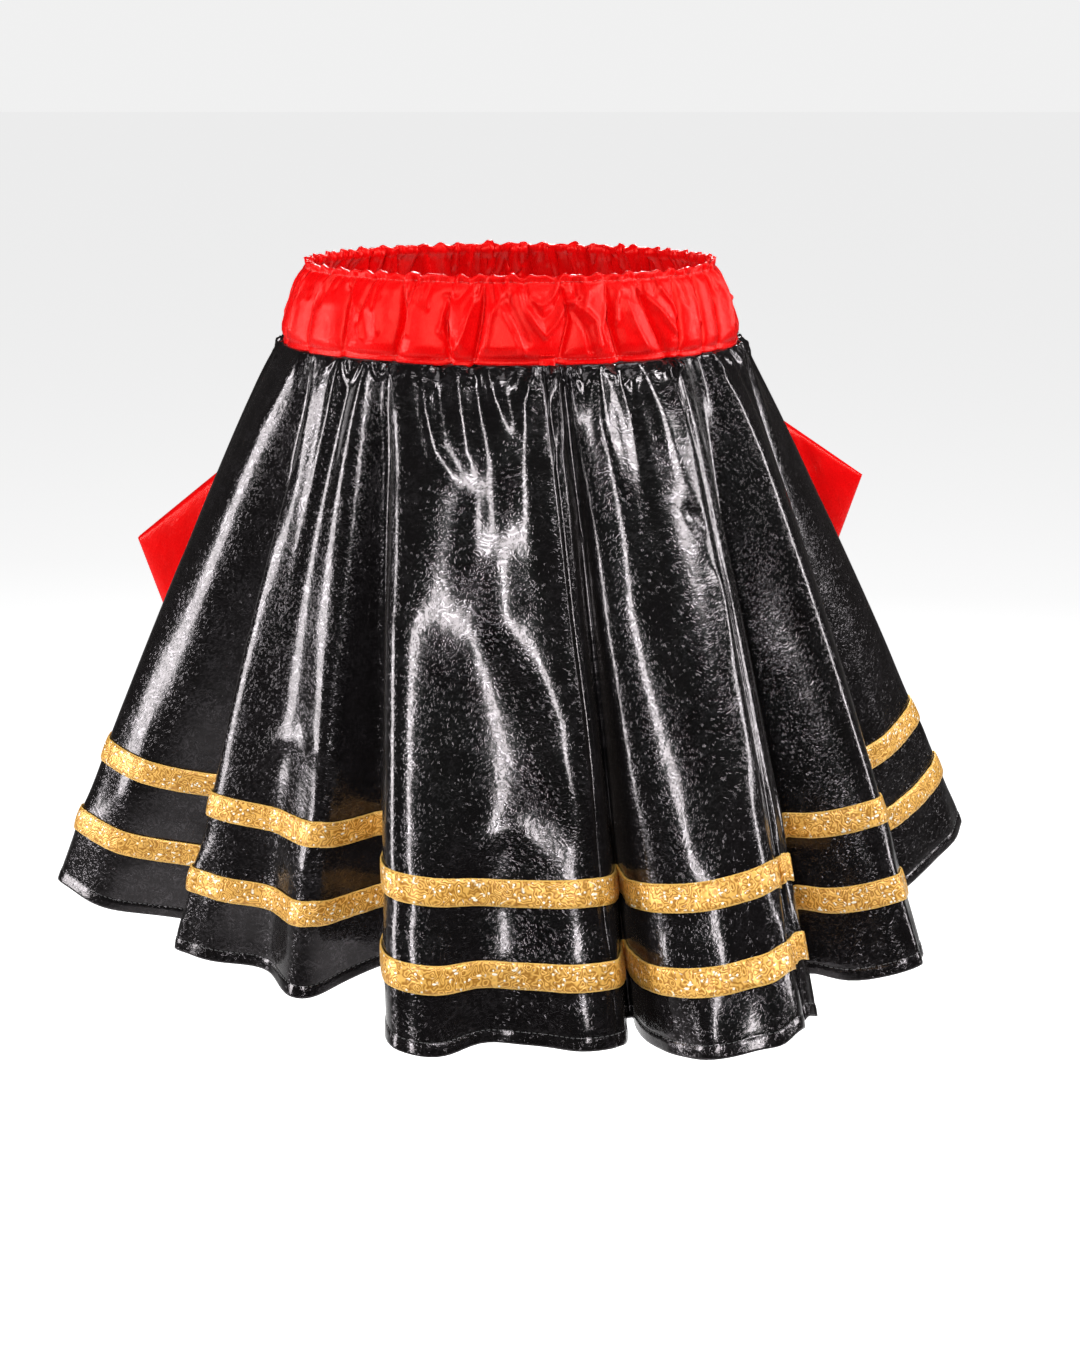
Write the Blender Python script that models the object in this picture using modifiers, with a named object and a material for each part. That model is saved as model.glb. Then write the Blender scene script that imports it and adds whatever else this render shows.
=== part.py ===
"""A gathered circle skirt: elastic satin waistband, two half-circle panels, two hem ribbons and a back bow.

The skirt hangs as it is worn, hollow and open at the waist and the hem. The origin is the centre of the
waistband at half its height, the front faces -Y, +X is the wearer's left and +Z is up. Metres throughout.
Angles round the body run from the front, 0 degrees, through +X at 90 degrees to the back at 180 degrees.
"""

import math
from collections import namedtuple

import bmesh
import bpy
from mathutils import Vector

# Waistband: a satin casing gathered on 50 mm elastic, wider below than above.
BAND_HEIGHT = 0.050
WAIST_HALF_WIDTH = 0.129          # at the band's top edge
WAIST_HALF_DEPTH = 0.097
HIP_HALF_WIDTH = 0.145            # at the band's lower edge
HIP_HALF_DEPTH = 0.109
BAND_WALL = 0.0022                # elastic and casing at the bottom of a gather
GATHER_COUNT = 56                 # gathers round the band
GATHER_STEPS = 4                  # faces across one gather
GATHER_DRIFT = ((7, 2.2), (11, 1.5), (17, 0.7))   # waves round the band and degrees that set gathers apart
GATHER_UNEVEN = 2.4               # turns each gather's height on from its neighbour's, in radians

# A row for each ring of the band's section: height as a share of the band's, how proud of the plain wall
# it stands in a valley between gathers, and how much further it stands on a gather's crest.
BandRing = namedtuple("BandRing", "height valley crest")
BAND_RINGS = (
    BandRing(0.00, 0.0012, 0.0008),
    BandRing(0.10, 0.0006, 0.0016),
    BandRing(0.50, 0.0012, 0.0048),
    BandRing(0.90, 0.0006, 0.0018),
    BandRing(1.00, 0.0008, 0.0014),
)

# Skirt cloth.
CLOTH_LENGTH = 0.396              # from the band to the hem, along the cloth
CLOTH_WALL = 0.0012
CLOTH_BULGE = 0.0045              # how far a length of cloth bows outwards, most of it in the upper half
BULGE_HEIGHT = 0.6                # 1 puts the bulge at mid-length, less moves it up
SEAM_GAP = 0.0003
CLOTH_TOP = -BAND_HEIGHT / 2 - SEAM_GAP
PUCKER = 0.0014                   # height of the gathers just under the band
PUCKER_DEPTH = 0.040              # how far down the cloth they fade out
PUCKER_STEPS = 4                  # columns of cloth across one of them
PUCKER_ROWS = (0.0, PUCKER_DEPTH / 3, PUCKER_DEPTH)   # how far down the cloth the first rows of points lie
MID_ROWS = (0.30, 0.53)           # shares of the cloth's length where plain rows of points lie
UPPER_RIBBON_ROW = len(PUCKER_ROWS) + len(MID_ROWS)

# Ribbons, measured up the cloth from the hem.
RIBBON_WIDTH = 0.016
RIBBON_WALL = 0.0010
LOWER_RIBBON_UP = 0.033
UPPER_RIBBON_UP = 0.079

# How much higher the ribbons sit at some of the hem's stations, which count along the flutes, four to each.
Rise = namedtuple("Rise", "station upper lower")
RIBBON_RISES = (
    Rise(0, 0.000, 0.000),
    Rise(6, 0.000, 0.000),
    Rise(8, 0.014, 0.012),
    Rise(9, 0.010, 0.008),
    Rise(10, 0.008, 0.005),
    Rise(12, 0.012, 0.010),
    Rise(15, 0.012, 0.010),
    Rise(20, 0.008, 0.007),
    Rise(36, 0.008, 0.007),
    Rise(40, 0.014, 0.007),
    Rise(45, 0.015, 0.009),
    Rise(46, 0.018, 0.014),
    Rise(47, 0.010, 0.007),
    Rise(48, 0.004, 0.001),
    Rise(49, 0.002, 0.000),
    Rise(52, 0.000, 0.000),
)

# A row for each flute of the skirt, in order round the body from the front seam. root_left and root_right
# are where its sides leave the band, hem_left and hem_right where they reach the hem, all in degrees. The
# three reaches are the hem's distance from the body's axis at its left side, crest and right side, and dip
# is how far its hem hangs past the cloth's length, where the cloth has dropped on the bias. The valley after
# it has its own root, hem angle and reach, and a dip below zero where the folded cloth is hitched up.
Flute = namedtuple("Flute", "root_left root_right hem_left hem_right reach_left reach_crest reach_right dip "
                            "valley_root valley_hem valley_reach valley_dip")
FLUTES = (
    Flute(16, 40, 18.2, 31.5, 0.274, 0.313, 0.316, 0.012, 41.5, 34.7, 0.297, 0.006),
    Flute(43, 46, 36.5, 40.5, 0.294, 0.290, 0.272, 0.004, 49, 50.0, 0.215, -0.006),
    Flute(54, 73, 50.0, 62.0, 0.238, 0.303, 0.290, 0.000, 78, 70.0, 0.200, -0.010),
    Flute(82, 100, 86.0, 101.0, 0.248, 0.300, 0.326, 0.000, 105, 107.0, 0.225, -0.010),
    Flute(109, 128, 114.0, 131.0, 0.280, 0.300, 0.290, 0.000, 133, 134.0, 0.205, -0.010),
    Flute(137, 157, 141.0, 160.0, 0.285, 0.300, 0.272, 0.004, 162, 163.0, 0.200, -0.010),
    Flute(166, 184, 168.0, 188.0, 0.270, 0.292, 0.275, 0.006, 189, 191.0, 0.195, -0.010),
    Flute(193, 210, 197.0, 214.0, 0.275, 0.297, 0.282, 0.004, 215, 217.0, 0.205, -0.010),
    Flute(219, 238, 223.0, 243.0, 0.278, 0.296, 0.285, 0.000, 243, 246.0, 0.205, -0.010),
    Flute(247, 258, 251.0, 258.0, 0.280, 0.290, 0.280, 0.000, 262, 262.0, 0.235, -0.010),
    Flute(266, 300, 268.0, 281.0, 0.300, 0.311, 0.268, 0.004, 305, 290.0, 0.185, -0.010),
    Flute(311, 326, 296.0, 323.0, 0.241, 0.209, 0.208, -0.008, 331, 333.0, 0.155, -0.024),
    Flute(335, 368, 346.0, 374.0, 0.276, 0.255, 0.266, 0.004, 372, 380.5, 0.208, -0.004),
)
STATIONS_PER_FLUTE = 4            # left side, crest, right side and valley
FACES_PER_SPAN = 4                # faces between two neighbouring stations
RIGHT_SIDE = 2                    # a flute's right side is this many stations after its left side
BACK_SEAM_FLUTE = 6               # the back seam runs down the right side of this row, the front of the last
RIBBON_JOIN = 3                   # the column where each ribbon's ends meet

# Bow of doubled satin on the back of the band. Each loop droops from the knot and widens outwards.
BOW_WALL = 0.0016
BOW_PINCH = 0.036                 # height of a loop where it enters the knot
LOOP_DEPTH = 0.024                # between a loop's two layers at its fullest
LOOP_ALONG = 9                    # faces along one layer
LOOP_ACROSS = 8
LOOP_MOUTH = 0.25                 # share of that depth where the loop enters the knot
LOOP_ARCH = 0.014                 # how far the loop arches off the cloth at its middle
LOOP_PLEAT = 0.0035               # depth of the pleats where the loop is pinched
LOOP_PLEATS = 2
LOOP_END = 8                      # the higher, the shorter the round end of a loop
KNOT_CLEARANCE = 0.0013           # from the knot to a loop's outer skin, which its wall comes back over
KNOT_SIZE = Vector((0.044, 0.032, 0.054))
KNOT_PLACE = Vector((0, 0.1290, -0.007))
KNOT_ROUNDING = 0.010

# A row for each loop: its side of the body, then where the upper and lower corners of its outer end are,
# as distances out from the body's middle plane and down from the origin, and how far back the end stands.
Loop = namedtuple("Loop", "name side corner_out corner_down heel_out heel_down back")
LOOPS = (
    Loop("bow_loop_left", 1, 0.256, 0.150, 0.217, 0.272, 0.172),
    Loop("bow_loop_right", -1, 0.279, 0.198, 0.240, 0.321, 0.172),
)


def material(name, colour, roughness, metallic=0.0):
    """Return a Principled material of one colour."""
    made = bpy.data.materials.new(name)
    made.use_nodes = True
    shader = made.node_tree.nodes["Principled BSDF"]
    shader.inputs["Base Color"].default_value = (*colour, 1.0)
    shader.inputs["Roughness"].default_value = roughness
    shader.inputs["Metallic"].default_value = metallic
    return made


def on_ellipse(half_width, half_depth, degrees, height):
    """Return the point of a level ellipse at an angle round the body."""
    angle = math.radians(degrees)
    return Vector((half_width * math.sin(angle), -half_depth * math.cos(angle), height))


def hem_stations():
    """Return the hem's stations: root angle, the plan point that the cloth reaches, and its dip."""
    stations = []
    for flute in FLUTES:
        root_crest = (flute.root_left + flute.root_right) / 2
        hem_crest = (flute.hem_left + flute.hem_right) / 2
        for root, hem, reach, dip in (
            (flute.root_left, flute.hem_left, flute.reach_left, flute.dip / 2),
            (root_crest, hem_crest, flute.reach_crest, flute.dip),
            (flute.root_right, flute.hem_right, flute.reach_right, flute.dip / 2),
            (flute.valley_root, flute.valley_hem, flute.valley_reach, flute.valley_dip),
        ):
            plan = on_ellipse(reach, reach, hem, 0)
            stations.append((root, plan.x, plan.y, dip))
    return stations


def between(first, second, low, high, here):
    """Return the point that lies between two points as a value lies between two others."""
    return first.lerp(second, (here - low) / (high - low))


def closed_spline(stations, steps):
    """Return a smooth closed curve through the stations, with a number of points from each to the next.

    The spans are centripetal Catmull-Rom, so a short span beside a long one doesn't overshoot.
    """
    count = len(stations)
    points = []
    for index in range(count):
        corners = []
        for neighbour in range(index - 1, index + 3):
            root, *plan = stations[neighbour % count]
            corners.append(Vector((root + 360 * (neighbour // count), *plan)))
        knots = [0.0]
        for first, second in zip(corners, corners[1:]):
            knots.append(knots[-1] + math.sqrt((second.yz - first.yz).length))
        for step in range(steps):
            here = knots[1] + (knots[2] - knots[1]) * step / steps
            spans = [between(corners[i], corners[i + 1], knots[i], knots[i + 1], here) for i in range(3)]
            halves = [between(spans[i], spans[i + 1], knots[i], knots[i + 2], here) for i in range(2)]
            points.append(between(halves[0], halves[1], knots[1], knots[2], here))
    return points


def cloth_columns():
    """Return a column for each line of cloth from band to hem: its top point and its hem point."""
    columns = []
    for root, x, y, dip in closed_spline(hem_stations(), FACES_PER_SPAN):
        top = on_ellipse(HIP_HALF_WIDTH, HIP_HALF_DEPTH, root, CLOTH_TOP)
        spread = math.hypot(x - top.x, y - top.y)
        drop = math.sqrt((CLOTH_LENGTH + dip) ** 2 - spread ** 2)
        columns.append((top, Vector((x, y, CLOTH_TOP - drop))))
    return columns


def cloth_point(columns, index, down):
    """Return the cloth's outer point a distance down one column."""
    top, hem = columns[index % len(columns)]
    share = down / CLOTH_LENGTH
    line = hem - top
    outward = Vector((top.x, top.y, 0)).normalized()
    proud = (outward - line * (outward.dot(line) / line.length_squared)).normalized()
    bulge = CLOTH_BULGE * 4 * share ** BULGE_HEIGHT * (1 - share)
    fade = max(0.0, 1 - down / PUCKER_DEPTH) ** 2
    pucker = PUCKER * fade * math.sin(math.tau * index / PUCKER_STEPS)
    point = top.lerp(hem, share) + proud * (bulge + pucker)
    point.z = min(point.z, CLOTH_TOP)
    return point


def ribbon_rises(index):
    """Return how much higher the upper and the lower ribbon sit at a column of the cloth."""
    station = index / FACES_PER_SPAN
    for first, second in zip(RIBBON_RISES, RIBBON_RISES[1:]):
        if station <= second.station:
            share = (station - first.station) / (second.station - first.station)
            return (first.upper + (second.upper - first.upper) * share,
                    first.lower + (second.lower - first.lower) * share)
    return 0.0, 0.0


def cloth_grid(columns):
    """Return the rows of outer points at several distances down the cloth, all round the body."""
    lines = [cloth_rows(*ribbon_rises(index)) for index in range(len(columns))]
    return [
        [cloth_point(columns, index, down) for index, down in enumerate(row)]
        for row in zip(*lines)
    ]


def grid_normals(rows):
    """Return the outward direction at each point of rows that run all round the body."""
    normals = []
    for level, row in enumerate(rows):
        above = rows[max(level - 1, 0)]
        below = rows[min(level + 1, len(rows) - 1)]
        line = []
        for index in range(len(row)):
            along = row[(index + 1) % len(row)] - row[index - 1]
            down = below[index] - above[index]
            line.append(down.cross(along).normalized())
        normals.append(line)
    return normals


def moved_out(rows, normals, distance):
    """Return the rows with each point moved along its outward direction."""
    return [
        [point + way * distance for point, way in zip(row, ways)]
        for row, ways in zip(rows, normals)
    ]


def add_object(name, work, collection, finish):
    """Make an object of a bmesh, shaded smooth, in a collection, and return it."""
    mesh = bpy.data.meshes.new(name)
    work.to_mesh(mesh)
    work.free()
    mesh.materials.append(finish)
    mesh.shade_smooth()
    made = bpy.data.objects.new(name, mesh)
    collection.objects.link(made)
    return made


def sheet_mesh(rows):
    """Return a bmesh of the open surface through rows of points, facing outwards."""
    work = bmesh.new()
    corners = [[work.verts.new(point) for point in row] for row in rows]
    for upper, lower in zip(corners, corners[1:]):
        for index in range(len(upper) - 1):
            work.faces.new((upper[index], lower[index], lower[index + 1], upper[index + 1]))
    return work


def wall_mesh(outer, inner):
    """Return a bmesh of the closed wall between an outer and an inner grid, open at the grid's ends."""
    work = bmesh.new()
    skins = [[[work.verts.new(point) for point in row] for row in grid] for grid in (outer, inner)]
    front, back = skins
    last_row, last_column = len(outer) - 1, len(outer[0]) - 1
    for row in range(last_row):
        for column in range(last_column):
            ring = ((row, column), (row + 1, column), (row + 1, column + 1), (row, column + 1))
            work.faces.new([front[level][place] for level, place in ring])
            work.faces.new([back[level][place] for level, place in reversed(ring)])
    border = [(0, column) for column in range(last_column)]
    border += [(row, last_column) for row in range(last_row)]
    border += [(last_row, column) for column in range(last_column, 0, -1)]
    border += [(row, 0) for row in range(last_row, 0, -1)]
    for here, after in zip(border, border[1:] + border[:1]):
        work.faces.new((front[here[0]][here[1]], front[after[0]][after[1]],
                        back[after[0]][after[1]], back[here[0]][here[1]]))
    return work


def cut_run(row, start, stop, gap):
    """Return the points of a closed row from one column to another, with half a gap taken off each end."""
    run = [row[index % len(row)].copy() for index in range(start, stop + 1)]
    run[0] += (run[1] - run[0]).normalized() * gap / 2
    run[-1] += (run[-2] - run[-1]).normalized() * gap / 2
    return run


def cloth_rows(upper_rise, lower_rise):
    """Return how far down the cloth each row of points lies, with a row on each edge of each ribbon."""
    upper, lower = UPPER_RIBBON_UP + upper_rise, LOWER_RIBBON_UP + lower_rise
    edges = (upper + RIBBON_WIDTH, upper, lower + RIBBON_WIDTH, lower)
    downs = [*PUCKER_ROWS]
    downs += [share * CLOTH_LENGTH for share in MID_ROWS]
    downs += [CLOTH_LENGTH - up for up in edges]
    return downs + [CLOTH_LENGTH]


def seam_column(flute):
    """Return the column of cloth at the right side of a flute, where a seam runs."""
    return (flute * STATIONS_PER_FLUTE + RIGHT_SIDE) * FACES_PER_SPAN


def build_skirt(columns, collection, finish):
    """Make the two half-circle panels, which meet at a seam near the centre front and one at the back.

    Returns the rows of outer points and the outward direction at each, which the ribbons are made from.
    """
    rows = cloth_grid(columns)
    normals = grid_normals(rows)
    lining = moved_out(rows, normals, -CLOTH_WALL)
    for point in lining[0]:
        point.z = min(point.z, CLOTH_TOP)
    back_seam = seam_column(BACK_SEAM_FLUTE)
    front_seam = seam_column(len(FLUTES) - 1) - len(columns)
    for name, start, stop in (
        ("skirt_left", front_seam, back_seam),
        ("skirt_right", back_seam, front_seam + len(columns)),
    ):
        outer, inner = [[cut_run(row, start, stop, SEAM_GAP) for row in grid] for grid in (rows, lining)]
        add_object(name, wall_mesh(outer, inner), collection, finish)
    return rows, normals


def build_ribbons(rows, normals, collection, finish):
    """Make the two ribbons, each a run right round the skirt with its ends meeting at a join."""
    skins = [moved_out(rows, normals, proud) for proud in (SEAM_GAP + RIBBON_WALL, SEAM_GAP)]
    for name, top_row in (("ribbon_upper", UPPER_RIBBON_ROW), ("ribbon_lower", UPPER_RIBBON_ROW + 2)):
        outer, inner = [
            [cut_run(row, RIBBON_JOIN, RIBBON_JOIN + len(row), SEAM_GAP) for row in skin[top_row:top_row + 2]]
            for skin in skins
        ]
        add_object(name, wall_mesh(outer, inner), collection, finish)


def gather_angle(place):
    """Return the angle round the band of a place counted in gathers, which are of uneven widths."""
    even = math.tau * place / GATHER_COUNT
    return math.degrees(even) + sum(size * math.sin(turns * even + turns) for turns, size in GATHER_DRIFT)


def build_band(collection, finish):
    """Make the waistband: a plain wall inside, with the casing's gathers standing out of it."""
    places = [index / GATHER_STEPS for index in range(GATHER_COUNT * GATHER_STEPS)]
    rings = []
    for ring in BAND_RINGS:
        row = []
        for place in places:
            tallness = 0.78 + 0.22 * math.sin(GATHER_UNEVEN * math.floor(place))
            crest = math.sin(math.pi * (place % 1.0)) ** 2 * tallness
            proud = BAND_WALL + ring.valley + ring.crest * crest
            row.append(band_point(ring.height, gather_angle(place), proud))
        rings.append(row)
    for height in (1.0, 0.0):
        rings.append([band_point(height, gather_angle(place), 0.0) for place in places])
    work = bmesh.new()
    loops = [[work.verts.new(point) for point in row] for row in rings]
    for lower, upper in zip(loops, loops[1:] + loops[:1]):
        for index in range(len(places)):
            after = (index + 1) % len(places)
            work.faces.new((lower[index], lower[after], upper[after], upper[index]))
    add_object("waistband", work, collection, finish)


def band_point(height, degrees, proud):
    """Return a point of the band at a share of its height, proud of its inner wall."""
    half_width = HIP_HALF_WIDTH + (WAIST_HALF_WIDTH - HIP_HALF_WIDTH) * height - BAND_WALL
    half_depth = HIP_HALF_DEPTH + (WAIST_HALF_DEPTH - HIP_HALF_DEPTH) * height - BAND_WALL
    level = BAND_HEIGHT * (height - 0.5)
    return on_ellipse(half_width + proud, half_depth + proud, degrees, level)


def loop_point(loop, along, across, layer):
    """Return a point of a bow loop: along from knot to end, across from its lower to its upper edge.

    layer is 1 on the side that faces away from the body and -1 on the side that faces it.
    """
    start = KNOT_PLACE + Vector((KNOT_SIZE.x / 2 + KNOT_CLEARANCE, 0, BOW_PINCH * (across - 0.5)))
    corner = Vector((loop.corner_out, loop.back, -loop.corner_down))
    heel = Vector((loop.heel_out, loop.back, -loop.heel_down))
    point = start.lerp(heel.lerp(corner, across), along)
    point.y += LOOP_ARCH * math.sin(math.pi * along)
    opening = LOOP_MOUTH + (1 - LOOP_MOUTH) * math.sin(math.pi / 2 * min(1.0, 1.5 * along))
    fullness = LOOP_DEPTH / 2 * opening * math.sqrt(1 - along ** LOOP_END)
    pleat = LOOP_PLEAT * (1 - along) ** 2 * math.sin(math.tau * LOOP_PLEATS * across)
    point.y += layer * fullness + pleat
    point.x *= loop.side
    return point


def build_loop(loop, collection, finish):
    """Make one bow loop: a strip that runs out from the knot, turns at its end and comes back behind."""
    alongs = [1 - (1 - step / LOOP_ALONG) ** 1.6 for step in range(LOOP_ALONG)]
    path = [(along, 1) for along in alongs] + [(1.0, 0)] + [(along, -1) for along in reversed(alongs)]
    rows = [
        [loop_point(loop, along, across / LOOP_ACROSS, layer) for across in range(LOOP_ACROSS + 1)]
        for along, layer in path
    ]
    if loop.side < 0:
        rows = [list(reversed(row)) for row in rows]
    made = add_object(loop.name, sheet_mesh(rows), collection, finish)
    wall = made.modifiers.new("wall", "SOLIDIFY")
    wall.thickness = BOW_WALL
    wall.offset = -1


def build_knot(collection, finish):
    """Make the bow's knot: a small padded block of satin, flat where it lies on the band."""
    work = bmesh.new()
    bmesh.ops.create_cube(work, size=1)
    bmesh.ops.scale(work, vec=KNOT_SIZE, verts=work.verts)
    bmesh.ops.translate(work, vec=KNOT_PLACE, verts=work.verts)
    knot = add_object("bow_knot", work, collection, finish)
    rounding = knot.modifiers.new("rounding", "BEVEL")
    rounding.width = KNOT_ROUNDING
    rounding.segments = 3


def main():
    """Build the skirt in a collection of its own."""
    for old in list(bpy.data.objects):
        bpy.data.objects.remove(old, do_unlink=True)
    collection = bpy.data.collections.new("gathered_circle_skirt")
    bpy.context.scene.collection.children.link(collection)
    satin = material("red_satin", (0.80, 0.006, 0.012), 0.32)
    foil = material("black_foil_cloth", (0.012, 0.011, 0.012), 0.28)
    glitter = material("gold_glitter_ribbon", (0.70, 0.42, 0.10), 0.35, 0.8)
    build_band(collection, satin)
    columns = cloth_columns()
    rows, normals = build_skirt(columns, collection, foil)
    build_ribbons(rows, normals, collection, glitter)
    for loop in LOOPS:
        build_loop(loop, collection, satin)
    build_knot(collection, satin)


main()
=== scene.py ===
"""The looks of a gathered circle skirt: foil cloth, satin band and bow, glitter ribbons and their sewing.

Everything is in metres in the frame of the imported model: the origin is the centre of the waistband at half
its height, the front faces -Y, +X is the wearer's left and +Z is up. Angles round the body run from the
front, 0 degrees, through +X to the back at 180 degrees. A place on the cloth is (station, down): stations
count along the hem, four to a flute, and down is the distance from the band along the cloth.
"""

from __future__ import annotations

import logging
import math
import random
from dataclasses import dataclass, field
from enum import Enum
from typing import Iterable, Sequence

import bmesh
import bpy
import numpy as np
from mathutils import Matrix, Vector

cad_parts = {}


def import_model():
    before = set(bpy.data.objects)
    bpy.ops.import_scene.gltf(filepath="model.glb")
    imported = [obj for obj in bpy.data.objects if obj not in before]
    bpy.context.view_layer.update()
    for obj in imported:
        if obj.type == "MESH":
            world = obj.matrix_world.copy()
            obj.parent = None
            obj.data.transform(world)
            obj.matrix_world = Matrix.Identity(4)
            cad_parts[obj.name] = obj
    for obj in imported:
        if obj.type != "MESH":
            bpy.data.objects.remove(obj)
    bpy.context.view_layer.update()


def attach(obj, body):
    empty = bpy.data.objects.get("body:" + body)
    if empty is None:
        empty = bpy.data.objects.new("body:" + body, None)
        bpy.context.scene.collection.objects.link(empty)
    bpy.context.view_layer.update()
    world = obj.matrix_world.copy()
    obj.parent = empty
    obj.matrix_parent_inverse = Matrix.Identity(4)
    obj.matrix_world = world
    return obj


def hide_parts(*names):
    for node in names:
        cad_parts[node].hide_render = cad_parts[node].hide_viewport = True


log = logging.getLogger("gathered_skirt")

CAD_BODY = "root"

# Sizes shared by several pieces, the same as the solids'.
BAND_HEIGHT = 0.050
WAIST_HALF = (0.129, 0.097)       # half width and half depth at the band's top edge
HIP_HALF = (0.145, 0.109)         # and at its lower edge
CLOTH_LENGTH = 0.396
CLOTH_WALL = 0.0012
SEAM_GAP = 0.0003
CLOTH_TOP = -BAND_HEIGHT / 2 - SEAM_GAP
WAVE_TOP = 0.20                   # how far down the cloth the hem's waves start
CUT_RADIUS = 0.143                # the inner radius of the panels' flat cut


class Slot(Enum):
    """The record's material slots."""

    SATIN = "red_satin"
    FOIL = "black_foil_cloth"
    GLITTER = "gold_glitter_ribbon"


# ---------------------------------------------------------------------------------------------------------
# The form of the cloth
# ---------------------------------------------------------------------------------------------------------


@dataclass(frozen=True)
class Flute:
    """One flute of the skirt: where it leaves the band and where it reaches the hem.

    Angles are in degrees and reaches are the hem's distance from the body's axis. dip is how far the hem
    hangs past the cloth's length.
    """

    root_left: float
    root_right: float
    hem_left: float
    hem_right: float
    reach_left: float
    reach_crest: float
    reach_right: float
    dip: float
    valley_root: float
    valley_hem: float
    valley_reach: float
    valley_dip: float

    def stations(self) -> list[tuple[float, float, float, float]]:
        """Return the flute's four stations as root angle, plan x, plan y and dip."""
        root_crest = (self.root_left + self.root_right) / 2
        hem_crest = (self.hem_left + self.hem_right) / 2
        rows = (
            (self.root_left, self.hem_left, self.reach_left, self.dip / 2),
            (root_crest, hem_crest, self.reach_crest, self.dip),
            (self.root_right, self.hem_right, self.reach_right, self.dip / 2),
            (self.valley_root, self.valley_hem, self.valley_reach, self.valley_dip),
        )
        return [
            (root, reach * math.sin(math.radians(hem)), -reach * math.cos(math.radians(hem)), dip)
            for root, hem, reach, dip in rows
        ]


FLUTES = (
    Flute(16, 40, 18.2, 31.5, 0.274, 0.313, 0.316, 0.012, 41.5, 34.7, 0.297, 0.006),
    Flute(43, 46, 36.5, 40.5, 0.294, 0.290, 0.272, 0.004, 49, 50.0, 0.215, -0.006),
    Flute(54, 73, 50.0, 62.0, 0.238, 0.303, 0.290, 0.000, 78, 70.0, 0.200, -0.010),
    Flute(82, 100, 86.0, 101.0, 0.248, 0.300, 0.326, 0.000, 105, 107.0, 0.225, -0.010),
    Flute(109, 128, 114.0, 131.0, 0.280, 0.300, 0.290, 0.000, 133, 134.0, 0.205, -0.010),
    Flute(137, 157, 141.0, 160.0, 0.285, 0.300, 0.272, 0.004, 162, 163.0, 0.200, -0.010),
    Flute(166, 184, 168.0, 188.0, 0.270, 0.292, 0.275, 0.006, 189, 191.0, 0.195, -0.010),
    Flute(193, 210, 197.0, 214.0, 0.275, 0.297, 0.282, 0.004, 215, 217.0, 0.205, -0.010),
    Flute(219, 238, 223.0, 243.0, 0.278, 0.296, 0.285, 0.000, 243, 246.0, 0.205, -0.010),
    Flute(247, 258, 251.0, 258.0, 0.280, 0.290, 0.280, 0.000, 262, 262.0, 0.235, -0.010),
    Flute(266, 300, 268.0, 281.0, 0.300, 0.311, 0.268, 0.004, 305, 290.0, 0.185, -0.010),
    Flute(311, 326, 296.0, 323.0, 0.241, 0.209, 0.208, -0.008, 331, 333.0, 0.155, -0.024),
    Flute(335, 368, 346.0, 374.0, 0.276, 0.255, 0.266, 0.004, 372, 380.5, 0.208, -0.004),
)
STATION_COUNT = 4 * len(FLUTES)
FRONT_SEAM = STATION_COUNT - 2    # the seams' stations
BACK_SEAM = 4 * 6 + 2


@dataclass(frozen=True)
class Crease:
    """A soft ridge, or a trough where its height is below zero, along a line on the cloth.

    path is a few places, (station, down), from the top down. Height and width, half the ridge's breadth,
    are given for its two ends.
    """

    path: tuple[tuple[float, float], ...]
    height: tuple[float, float]
    width: tuple[float, float]


@dataclass(frozen=True)
class Swag:
    """A U-shaped fold that hangs from the band between two gathers."""

    station: float
    half_width: float
    depth: float
    height: float


@dataclass(frozen=True)
class HemWave:
    """A swell, or a dent where out is below zero, that deepens towards the hem.

    size is half its breadth in stations, out how far it stands out at the hem and lift how far the hem rises.
    """

    station: float
    size: float
    out: float
    lift: float


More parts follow.
